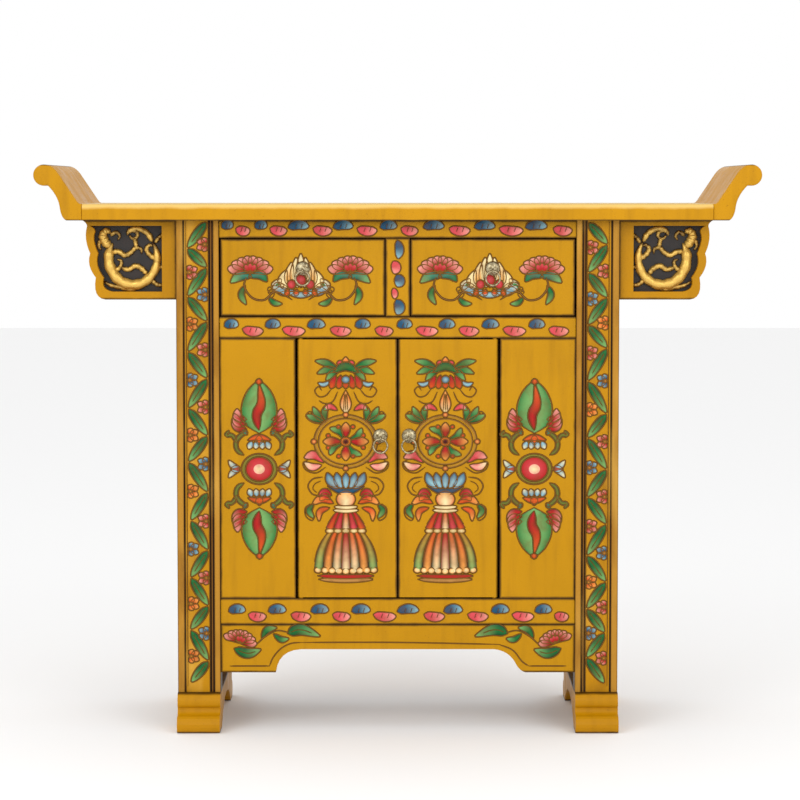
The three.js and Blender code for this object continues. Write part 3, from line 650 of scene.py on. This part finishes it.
def drawerStem(sheet, x, y, toward):
    # toward is 1 when the stem runs to the right
    s = toward
    stroke(sheet, [(x - 4 * s, y + 4), (x - 6 * s, y + 14), (x + 2 * s, y + 25), (x + 14 * s, y + 27),
                   (x + 24 * s, y + 19), (x + 34 * s, y + 22), (x + 42 * s, y + 27)], 1.3, 34)
    stroke(sheet, [(x + 14 * s, y + 27)] + curl((x + 20 * s, y + 20), 5, 90 if s > 0 else 90, 0.9, flip=-s), 0.7, 22)
    petal(sheet, [(x + 2 * s, y + 4), (x - 10 * s, y + 3), (x - 20 * s, y + 10)], 5.0, "darkGreen", "teal", "paleGreen", 0.5)
    petal(sheet, [(x - 2 * s, y + 4), (x + 10 * s, y + 2), (x + 17 * s, y + 9)], 4.6, "darkGreen", "teal", "green", 0.5)
    petal(sheet, [(x - 5 * s, y + 12), (x - 9 * s, y + 22), (x - 4 * s, y + 32)], 3.4, "darkGreen", "green", "paleGreen")
    petal(sheet, [(x + 18 * s, y + 24), (x + 24 * s, y + 30), (x + 32 * s, y + 31)], 3.0, "darkGreen", "green", "paleGreen")
    petal(sheet, [(x + 22 * s, y + 18), (x + 27 * s, y + 12), (x + 34 * s, y + 13)], 2.6, "darkGreen", "green", "paleGreen")


def flamingJewel(sheet, x):
    for offset, top, hue in ((-26, 279, "paleBlue"), (26, 279, "paleBlue"), (-19, 270, "cream"), (19, 270, "cream"),
                             (-12, 262, "paleOrange"), (12, 262, "paleOrange"), (-6, 257, "cream"), (6, 257, "cream"),
                             (0, 253, "cream")):
        petal(sheet, [(x + offset * 0.5, 288), (x + offset * 0.95, (288 + top) / 2 + 3), (x + offset * 0.75, top)],
              5.2, "gold", hue, "cream", 0.45, blunt=0.7)
    for offset in (-17, 17):
        petal(sheet, [(x + offset * 0.3, 291), (x + offset, 292), (x + offset * 1.75, 286)], 4.2, "grey", "paleBlue",
              "blue", 0.5)
        stroke(sheet, curl((x + offset * 1.8, 289), 4.2, 0 if offset < 0 else 180, 1.0, flip=1 if offset < 0 else -1), 0.7, 20)
        disc(sheet, (x + offset * 0.55, 284.5), 4.3, 4.6, "pink", "red", 1.8, base=0.0004)
    disc(sheet, (x, 280.5), 5.4, 6, "pink", "red", 2.0, base=0.0005)
    petal(sheet, [(x - 16, 292), (x, 295), (x + 16, 292)], 3.2, "grey", "paleBlue", None, 0.5, base=0.0003)
    for offset in (-15, -5, 5, 15):
        petal(sheet, [(x + offset * 0.8, 289), (x + offset, 296)], 2.6, "red", "orange", None, 0.6, base=0.0005)


def paintDrawers():
    for side, drawer in drawers.items():
        sheet = newSheet(planes["panel"])
        first, second = drawer["flowers"]
        drawerStem(sheet, first, 273, 1)
        drawerStem(sheet, second, 273, -1)
        peony(sheet, first, 272.5)
        peony(sheet, second, 272.5)
        flamingJewel(sheet, drawer["jewel"])
        hang(sheet, "drawer_painting_" + side, "drawer_" + side)


paintDrawers()

# --- doors: a wheel under a parasol, over a vase on a fluted bell of ribbons
doors = {"left": 345.5, "right": 445.5}


def mirroredPetal(sheet, x, points, *rest, **more):
    # the same petal on both sides of the line x; points give the right-hand one as offsets from x
    for s in (-1, 1):
        petal(sheet, [(x + s * dx, y) for dx, y in points], *rest, **more)


def mirroredStroke(sheet, x, points, *rest, **more):
    for s in (-1, 1):
        stroke(sheet, [(x + s * dx, y) for dx, y in points], *rest, **more)


def parasol(sheet, x):
    petal(sheet, [(x, 367), (x, 357)], 4.4, "red", "orange", "paleOrange", 0.35)
    mirroredPetal(sheet, x, [(0, 367), (5, 363), (9, 364)], 2.4, "red", "pink")
    for dx, end in ((7, (31, 361)), (8, (29, 374)), (6, (20, 381))):
        mirroredPetal(sheet, x, [(dx, 370), ((dx + end[0]) / 2, (370 + end[1]) / 2 - 2), end], 3.6, "darkGreen", "green",
                      "paleGreen")
    petal(sheet, [(x - 13, 373), (x, 366.5), (x + 13, 373)], 4.6, "darkGreen", "green", None, 0.5, height=1.6, base=0.0004)
    for dx in (-13, -6.5, 0, 6.5, 13):
        petal(sheet, [(x + dx * 0.75, 375), (x + dx * 1.15, 389)], 3.9, "deepRed", "red", "orange", 0.6, height=1.5,
              base=0.0004)
    disc(sheet, (x, 380), 4.2, 3.8, "paleBlue", "blue", 2.0, base=0.001)
    petal(sheet, [(x, 390), (x, 414)], 5.6, "orange", "paleOrange", "cream", 0.6, height=1.3)
    for dx in (-2.2, 0, 2.2):
        stroke(sheet, [(x + dx * 0.5, 394), (x + dx, 411)], 0.45, 8, base=0.0012)
    mirroredStroke(sheet, x, [(14, 389), (20, 396), (27, 397), (31, 391), (27, 387), (24, 391)], 0.8, 26)
    mirroredStroke(sheet, x, [(8, 392), (13, 402), (21, 404), (27, 401)], 0.8, 18)
    mirroredPetal(sheet, x, [(14, 381), (22, 385), (28, 383)], 2.4, "blue", "paleBlue")


def wheel(sheet, x):
    y = 442.3
    disc(sheet, (x, y), 32, 27, "gold", "crest", 1.3, hole=0.91)
    disc(sheet, (x, y), 27.5, 23.2, "gold", "crest", 0.9, hole=0.94)
    for degrees in range(0, 360, 45):
        angle = math.radians(degrees)
        inner = (x + 4 * math.cos(angle), y + 3.6 * math.sin(angle))
        outer = (x + 23 * math.cos(angle), y + 19.4 * math.sin(angle))
        if degrees % 90:
            middle = (x + 14 * math.cos(angle + 0.25), y + 12 * math.sin(angle + 0.25))
            petal(sheet, [inner, middle, outer], 3.4, "darkGreen", "green", "paleGreen", 0.6)
        else:
            petal(sheet, [inner, outer], 4.6, "deepRed", "red", "paleOrange", 0.55, height=1.4)
            knob = (x + 32 * math.cos(angle), y + 27 * math.sin(angle))
            disc(sheet, knob, 2.6, 2.4, "paleOrange", "red", 1.8, base=0.0005)
    for degrees in range(22, 360, 45):
        angle = math.radians(degrees)
        spot = (x + 19 * math.cos(angle), y + 16 * math.sin(angle))
        disc(sheet, spot, 2.0, 1.8, "orange", "red", 1.2)
    disc(sheet, (x, y), 5.0, 4.4, "gold", "orange", 1.8, base=0.0004)
    disc(sheet, (x, y), 2.8, 2.5, "black", "deepRed", 2.2, base=0.0009)
    for end in ((19, 405), (33, 407), (40, 415)):
        mirroredPetal(sheet, x, [(20, 423), ((20 + end[0]) / 2 + 2, (423 + end[1]) / 2), end], 3.4, "darkGreen", "green",
                      "paleGreen")
    mirroredStroke(sheet, x, [(22, 425), (33, 423), (40, 417), (36, 412), (32, 416)], 0.8, 24)
    mirroredPetal(sheet, x, [(8, 411), (16, 407), (22, 411)], 3.0, "red", "pink", "palePink")


def ribbons(sheet, x):
    mirroredPetal(sheet, x, [(22, 464), (32, 456), (42, 459)], 4.4, "red", "pink", "palePink", 0.55)
    mirroredPetal(sheet, x, [(24, 466), (34, 468), (42, 463)], 3.8, "pink", "palePink", "cream", 0.5)
    mirroredStroke(sheet, x, [(20, 468), (30, 474), (40, 471), (43, 464), (38, 461)], 0.8, 26)
    mirroredStroke(sheet, x, [(23, 478), (33, 480), (38, 487), (34, 495), (27, 497)], 0.9, 26)
    mirroredStroke(sheet, x, [(25, 482), (31, 485), (33, 490), (29, 494)], 0.6, 20)
    for dx in (0, 7, 14):
        for s in ((1,) if dx == 0 else (-1, 1)):
            petal(sheet, [(x + s * dx * 0.55, 490), (x + s * dx * 1.1, 482), (x + s * dx * 1.35, 473.5)], 4.4, "blue",
                  "paleBlue", "blue", 0.5, height=1.4, base=0.0003)
    petal(sheet, [(x - 19, 487), (x, 493), (x + 19, 487)], 3.6, "darkGreen", "blue", None, 0.5, height=1.2)
    for near, far, y in ((14, 28, 497), (16, 26, 501)):
        mirroredPetal(sheet, x, [(near, y), ((near + far) / 2, y - 4), (far, y + 1)], 3.6, "deepRed", "red", "pink")


def vase(sheet, x):
    petal(sheet, [(x, 509), (x, 492)], 9.6, "orange", "cream", "paleOrange", 0.5, height=1.5, blunt=0.5, base=0.0003)
    for y, reach in ((508, 12), (511.5, 13)):
        petal(sheet, [(x - reach, y), (x, y + 1), (x + reach, y)], 2.0, "tan", "cream", None, 0.5, height=1.8, base=0.0008,
              blunt=0.35)
    mirroredPetal(sheet, x, [(12, 505), (24, 500), (34, 506)], 4.0, "red", "orange", "paleOrange", 0.5)
    mirroredPetal(sheet, x, [(32, 505), (37, 512), (32, 520)], 3.2, "darkGreen", "green", "paleGreen", 0.5)
    mirroredPetal(sheet, x, [(16, 509), (26, 513), (27, 523)], 3.2, "red", "orange", "paleOrange", 0.5)
    mirroredStroke(sheet, x, [(36, 505), (41, 510), (40, 518), (34, 522), (31, 517)], 0.8, 24)


def flutes(sheet, x, top, bottom, reachTop, reachBottom, count, hues, bulge=0.0):
    # skirt of flutes: each is a four-sided patch between two spread lines, rounded across
    share = np.linspace(-1, 1, count + 1)
    rows = np.linspace(0, 1, 12)
    for k in range(count):
        v = np.linspace(0, 1, 7)
        place = share[k] + (share[k + 1] - share[k]) * v
        reach = reachTop + (reachBottom - reachTop) * (rows ** 0.8 + bulge * np.sin(np.pi * rows))
        px = x + reach[:, None] * place[None, :]
        drop = 2.6 * np.sin(np.pi * v)[None, :] * rows[:, None] ** 2
        py = top + (bottom - top) * rows[:, None] + drop + np.abs(place)[None, :] * -1.5 * rows[:, None]
        lift = relief["petalLift"] * 1.6 * np.sin(np.pi * v)[None, :] ** 0.6 * np.ones((12, 1))
        edge, core, tip = hues[min(k, count - 1 - k)]
        centre = np.sin(np.pi * v)[None, :, None] ** 1.2
        fall = rows[:, None, None] ** 1.4
        inner = tints[core] * (1 - fall) + tints[tip] * fall
        addGrid(sheet, px, py, lift, tints[edge] * (1 - centre) + inner * centre)
        stroke(sheet, np.stack([px[::3, 0], py[::3, 0]], 1), 0.75, 14, 0.9)
        stroke(sheet, np.stack([px[-1], py[-1]], 1), 0.8, 12, 1)
    stroke(sheet, np.stack([px[::3, -1], py[::3, -1]], 1), 0.75, 14, 0.9)


def bell(sheet, x):
    flutes(sheet, x, 513, 530, 9, 20, 5, [("deepRed", "red", "orange"), ("deepRed", "red", "pink"),
                                          ("deepRed", "orange", "cream")])
    for dx in (-16, -8, 0, 8, 16):
        disc(sheet, (x + dx, 532.5), 4.2, 2.4, "cream", "gold", 1.6, base=0.0006)
    flutes(sheet, x, 534, 572, 18, 32, 7, [("black", "gold", "paleGreen"), ("black", "orange", "paleOrange"),
                                          ("darkGreen", "orange", "cream"), ("deepRed", "red", "cream")], 0.2)
    for dx in np.linspace(-28, 28, 9):
        disc(sheet, (x + dx, 573.5 - abs(dx) * 0.05), 3.6, 3.0, "cream", "paleOrange", 1.5, base=0.0005)
    for y, hue, reach in ((578, "red", 29), (581.6, "tan", 28)):
        petal(sheet, [(x - reach, y), (x, y + 1.2), (x + reach, y)], 2.2, hue, hue, None, 0.5, height=1.4, blunt=0.3)


def paintDoors():
    for side, x in doors.items():
        sheet = newSheet(planes["panel"])
        parasol(sheet, x)
        wheel(sheet, x)
        ribbons(sheet, x)
        vase(sheet, x)
        bell(sheet, x)
        hang(sheet, "door_painting_" + side, "door_" + side)


paintDoors()

# --- side panels: a double thunderbolt, its ball ringed, with two egg-shaped ends
bolts = {"left": 258.5, "right": 535.0, "middleY": 470.0}


def boltEnd(sheet, x, tipY, rootY):
    # one egg-shaped end, from the root near the ball to the tip
    up = 1 if rootY > tipY else -1
    middle = (tipY + rootY) / 2
    for s in (-1, 1):
        for k, (reach, start) in enumerate(((27, 0.05), (25, 0.3), (22, 0.55))):
            y0 = rootY - up * (3 + 20 * start)
            petal(sheet, [(x + s * 12, y0), (x + s * 21, y0 - up * 2), (x + s * reach, y0 - up * 11)], 4.6, "deepRed", "red",
                  "palePink", 0.55, height=0.9)
    petal(sheet, [(x, rootY), (x, middle), (x, tipY)], 18, "green", "paleGreen", None, 0.44, height=1.6, blunt=0.62)
    petal(sheet, [(x, rootY + up * 12), (x, rootY + up * 2)], 3.6, "deepRed", "orange", None, 0.5)
    petal(sheet, [(x, tipY + up * 4), (x, tipY - up * 2)], 3.2, "deepRed", "orange", None, 0.5, base=0.0008)
    petal(sheet, [(x, rootY - up * 3), (x - 2.4, middle + up * 8), (x + 2.4, middle - up * 4), (x, tipY + up * 3)], 4.8,
          "deepRed", "red", "orange", 0.45, height=1.2, base=0.0019)


def lotusCap(sheet, x, y, up):
    petal(sheet, [(x - 12, y), (x, y - up * 3), (x + 12, y)], 3.2, "deepRed", "orange", None, 0.5)
    for dx in (-9, -3, 3, 9):
        petal(sheet, [(x + dx * 0.8, y + up * 1), (x + dx * 1.2, y + up * 9)], 3.2, "blue", "paleBlue", "cream", 0.5, height=1.3)


def thunderbolt(sheet, x):
    y = bolts["middleY"]
    boltEnd(sheet, x, 381, 434)
    boltEnd(sheet, x, 559, 509)
    lotusCap(sheet, x, 441, 1)
    lotusCap(sheet, x, 499, -1)
    disc(sheet, (x, y), 18, 15.6, "gold", "olive", 1.0)
    disc(sheet, (x, y), 13.6, 12.2, "pink", "red", 2.2, base=0.0006)
    disc(sheet, (x, y), 6.8, 6, "cream", "palePink", 1.2, outline=False, base=0.0021)
    for s in (-1, 1):
        for up, edge in ((1, 435), (-1, 506)):
            near = y - up * 14
            arm = [(x + s * 15, near), (x + s * 22, near - up * 5), (x + s * 23, near - up * 14),
                   (x + s * 17, near - up * 21), (x + s * 12, near - up * 22)]
            hook = [(x + s * 22, near - up * 12), (x + s * 27, near - up * 20), (x + s * 33, edge + up * 1),
                    (x + s * 30, edge - up * 4)]
            petal(sheet, arm, 2.3, "darkGreen", "olive", None, 0.5, blunt=0.2)
            petal(sheet, hook, 2.0, "darkGreen", "olive", None, 0.4, blunt=0.25)
            petal(sheet, [(x + s * 12, near - up * 20), (x + s * 16, near - up * 26)], 2.4, "darkGreen", "teal", None)
        petal(sheet, [(x + s * 18, y), (x + s * 26, y - 3), (x + s * 31, y - 9)], 3.0, "blue", "paleBlue", "cream")
        petal(sheet, [(x + s * 18, y), (x + s * 26, y + 3), (x + s * 31, y + 9)], 3.0, "blue", "paleBlue", "cream")
        petal(sheet, [(x + s * 18, y), (x + s * 29, y)], 3.4, "deepRed", "pink", "palePink")


def paintSidePanels():
    sheet = newSheet(planes["panel"])
    for side in ("left", "right"):
        thunderbolt(sheet, bolts[side])
    hang(sheet, "panel_painting", "carcass")


paintSidePanels()

# --- apron: a peony in each corner and a leafy vine along the top
apron = {"flowers": ((238, 646, 1), (557, 646, -1)), "edgeLift": 7}


def paintApron():
    sheet = newSheet(planes["apron"])
    for x, y, s in apron["flowers"]:
        peony(sheet, x, y, 0.78, 18 * s)
        petal(sheet, [(x - 6 * s, y + 6), (x + 8 * s, y + 11), (x + 22 * s, y + 7)], 5.4, "darkGreen", "green", "paleGreen",
              0.45, rib=True)
        stroke(sheet, [(x + 16 * s, y + 3), (x + 26 * s, y - 6), (x + 38 * s, y - 12), (x + 50 * s, y - 10)], 0.9, 26)
        petal(sheet, [(x + 22 * s, y - 4), (x + 28 * s, y - 13), (x + 38 * s, y - 15)], 3.6, "darkGreen", "green", "paleGreen")
        petal(sheet, [(x + 34 * s, y - 9), (x + 42 * s, y - 3), (x + 50 * s, y - 4)], 3.2, "darkGreen", "green", "paleGreen")
        petal(sheet, [(x + 48 * s, y - 9), (x + 62 * s, y - 13), (x + 82 * s, y - 6)], 6.0, "darkGreen", "green", "paleGreen",
              0.42, rib=True)
    lower = [(228, 670), (268, 670), (272, 661), (280, 652), (290, 647), (300, 646), (398, 646), (500, 648), (514, 654),
             (523, 665), (530, 670), (568, 670)]
    stroke(sheet, lower[:2], 0.8, 10)
    stroke(sheet, lower[1:6], 0.8, 26)
    stroke(sheet, lower[5:8], 0.8, 20)
    stroke(sheet, lower[7:11], 0.8, 24)
    stroke(sheet, lower[10:], 0.8, 10)
    hang(sheet, "apron_painting", "carcass")


paintApron()
print("drawers, doors, panels and apron painted")


# --- gilt carving of the spandrels, finer than its solid and in the same place
carving = {
    "backY": -0.124, "centreX": 0.4405, "centreZ": 0.7905, "relief": 1.2, "plump": 1.45,
    "scrolls": [
        ("arc", (0, -1, 40, 44, 38, -214), 3.4, 5.8, 1.8), ("path", [(33, 25), (24, 40), (8, 48), (-6, 45), (-10, 36)], 3.6, 2.0, 0.5),
        ("arc", (0, 37, 10, 9, 170, -200), 3.0, 1.6, 0), ("path", [(-38, 16), (-46, 26), (-50, 37), (-44, 44), (-36, 40)], 5.2, 2.4, 1.6),
        ("path", [(-47, 30), (-55, 27), (-57, 18), (-52, 12)], 3, 1.2, 0.4), ("path", [(-38, 36), (-28, 42), (-22, 36), (-26, 28)], 2.6, 1.2, 0.3),
        ("path", [(-40, 6), (-26, 10), (-14, 4), (-4, 8), (4, 16), (13, 14), (14, 5)], 3.4, 1.6, 0.6),
        ("path", [(6, 14), (4, 26), (2, 33)], 2.6, 2.4, 0.3), ("path", [(40, -4), (28, 4), (22, 14), (28, 21), (34, 18)], 3.4, 1.4, 0.5),
        ("path", [(-34, -24), (-22, -16), (-20, -6), (-28, -3)], 3.2, 1.2, 0.3),
        ("path", [(-22, -16), (-8, -20), (4, -14), (16, -20), (24, -30)], 2.6, 3, 0.6),
        ("path", [(12, -43), (-2, -52), (-20, -50), (-38, -46), (-52, -38)], 3.6, 1.4, 0.6),
        ("path", [(28, -34), (38, -44), (48, -46), (53, -40)], 3, 1.4, 0.4), ("path", [(36, 24), (44, 34), (50, 38), (53, 32)], 2.8, 1.4, 0.3),
        ("path", [(38, -18), (48, -16), (54, -21)], 2.8, 1.4, 0.3)],
}


def barAlong(path, radius, rise, aroundCount=10):
    # bar along a path: half-round towards the front, open at the back with both edges on the back plane, its end rings
    # drawn in towards points
    slope = np.gradient(path, axis=0)
    slope /= np.linalg.norm(slope, axis=1, keepdims=True)
    across = np.stack([-slope[:, 1], slope[:, 0]], 1)
    angle = np.linspace(0, np.pi, aroundCount)
    wide = radius[:, None] * np.cos(angle)
    out = radius[:, None] * np.sin(angle) * rise
    x = path[:, :1] + across[:, :1] * wide
    z = path[:, 1:] + across[:, 1:] * wide
    return np.stack([x, -out, z], 2)


def scrollGrid(kind, shape, start, end, swell):
    count = 64 if kind == "arc" else 10 * len(shape)
    if kind == "arc":
        cx, cz, rx, rz, low, high = shape
        turn = np.radians(np.linspace(low, high, count))
        size = np.linspace(1, 1.02 if rx > 20 else 0.45, count)
        path = np.stack([cx + rx * size * np.cos(turn), cz + rz * size * np.sin(turn)], 1)
    else:
        path = smoothPath(shape, count)
    along = np.linspace(0, 1, count)
    radius = carving["plump"] * (start + (end - start) * along + swell * np.sin(np.pi * along))
    cap = np.sqrt(np.clip(np.minimum(along, 1 - along) * 9, 0.02, 1))
    notch = 1 + 0.07 * np.sin(along * count * 0.9)
    return barAlong(path, radius * cap * notch, carving["relief"])


def makeCarvings():
    for side, s in (("left", -1), ("right", 1)):
        points, faces, count = [], [], 0
        for scroll in carving["scrolls"]:
            grid = scrollGrid(*scroll) / 1000
            rows, columns = grid.shape[:2]
            grid[..., 0] = s * (carving["centreX"] - grid[..., 0])
            grid[..., 1] += carving["backY"]
            grid[..., 2] += carving["centreZ"]
            quads = gridFaces(rows, columns)
            flat = grid.reshape(-1, 3)
            a, b, d = flat[quads[:, 0]], flat[quads[:, 1]], flat[quads[:, 3]]
            if np.cross(b - a, d - a)[:, 1].sum() > 0:
                quads = quads[:, ::-1]
            points.append(flat)
            faces.append(quads + count)
            count += rows * columns
        piece = meshFrom("dragon_scroll_" + side, np.vstack(points), np.vstack(faces))
        piece.data.materials.append(gilding("gilding_" + side, carving["backY"], 0.009))
        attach(piece, "carcass")
        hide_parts("spandrel_carving_" + side)


makeCarvings()

# --- pulls: smooth domes, eyes and rings in place of the faceted solids
pulls = {
    "domeRadius": 0.0123, "domeHeight": 0.007, "eyeDrop": 0.0045, "standoff": 0.011, "eyeTube": 0.0013,
    "ringTube": 0.00175, "ringRadius": 0.01175, "clearance": 0.00045,
    "places": {"drawer_left": (-0.1574, 0.773), "drawer_right": (0.1574, 0.773), "door_left": (-0.0288, 0.4946),
               "door_right": (0.0187, 0.4946)},
}


def closedGrid(grid, wrapRows):
    # quads of a grid that closes on itself across its columns, and along its rows where asked
    rows, columns = grid.shape[:2]
    i = np.arange(rows if wrapRows else rows - 1)[:, None]
    j = np.arange(columns)[None, :]
    a = i * columns + j
    b = i * columns + (j + 1) % columns
    c = ((i + 1) % rows) * columns + (j + 1) % columns
    d = ((i + 1) % rows) * columns + j
    return np.stack([a, b, c, d], 2).reshape(-1, 4)


def torusGrid(centre, radius, tube, axis):
    # ring: a small circle carried round a large one, about the x or y axis
    big = np.linspace(0, 2 * np.pi, 48, endpoint=False)[:, None]
    small = np.linspace(0, 2 * np.pi, 16, endpoint=False)[None, :]
    reach = radius + tube * np.cos(small)
    first, second, third = reach * np.cos(big), reach * np.sin(big), tube * np.sin(small) + 0 * big
    stack = (third, first, second) if axis == "x" else (first, -third, second)
    return np.stack(stack, 2) + np.array(centre)


def domeGrid(x, y, z):
    # dome: quarter ellipse turned about the y axis, with a rolled rim at its foot
    turn = np.linspace(0, 2 * np.pi, 40, endpoint=False)[None, :]
    rise = np.linspace(0, np.pi / 2, 14)[:, None]
    reach = pulls["domeRadius"] * np.cos(rise)
    out = pulls["domeHeight"] * np.sin(rise)
    rim = 0.0004 * np.exp(-((rise - 0.25) / 0.12) ** 2)
    return np.stack([x + reach * np.cos(turn), y - out - rim + 0 * turn, z + reach * np.sin(turn)], 2)


def assemble(name, grids):
    points, faces, count = [], [], 0
    for grid, wrap in grids:
        flat = grid.reshape(-1, 3)
        points.append(flat)
        faces.append(closedGrid(grid, wrap) + count)
        count += len(flat)
    piece = meshFrom(name, np.vstack(points), np.vstack(faces))
    mesh = piece.data
    import bmesh
    work = bmesh.new()
    work.from_mesh(mesh)
    bmesh.ops.remove_doubles(work, verts=work.verts, dist=1e-6)
    bmesh.ops.recalc_face_normals(work, faces=work.faces)
    work.to_mesh(mesh)
    work.free()
    mesh.polygons.foreach_set("use_smooth", np.ones(len(mesh.polygons), bool))
    return piece


def makePulls():
    brass = agedBrass("agedBrass")
    faceY = planes["panel"]
    for place, (x, z) in pulls["places"].items():
        eyeZ = z - pulls["eyeDrop"]
        lineY = faceY - pulls["standoff"]
        eyeRadius = pulls["ringTube"] + pulls["clearance"] + pulls["eyeTube"]
        turn = np.linspace(0, 2 * np.pi, 20, endpoint=False)[None, :]
        reach = np.array([2.3, 2.0, 1.8, 1.7, 0.01])[:, None] / 1000
        out = np.array([2.0, 5.0, 7.0, 8.4, 8.4])[:, None] / 1000
        stalk = np.stack([x + reach * np.cos(turn), faceY - out + 0 * turn, eyeZ + reach * np.sin(turn)], 2)
        boss = assemble("boss_" + place, [(domeGrid(x, faceY, z), False), (stalk, False),
                                          (torusGrid((x, lineY, eyeZ), eyeRadius, pulls["eyeTube"], "x"), True)])
        ring = assemble("ring_" + place, [(torusGrid((x, lineY, eyeZ - pulls["ringRadius"]), pulls["ringRadius"],
                                                    pulls["ringTube"], "y"), True)])
        for piece, node, body in ((boss, "pull_boss_" + place, place), (ring, "pull_ring_" + place, "ring_" + place)):
            piece.data.materials.append(brass)
            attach(piece, body)
            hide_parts(node)


makePulls()
print("carvings and pulls made")
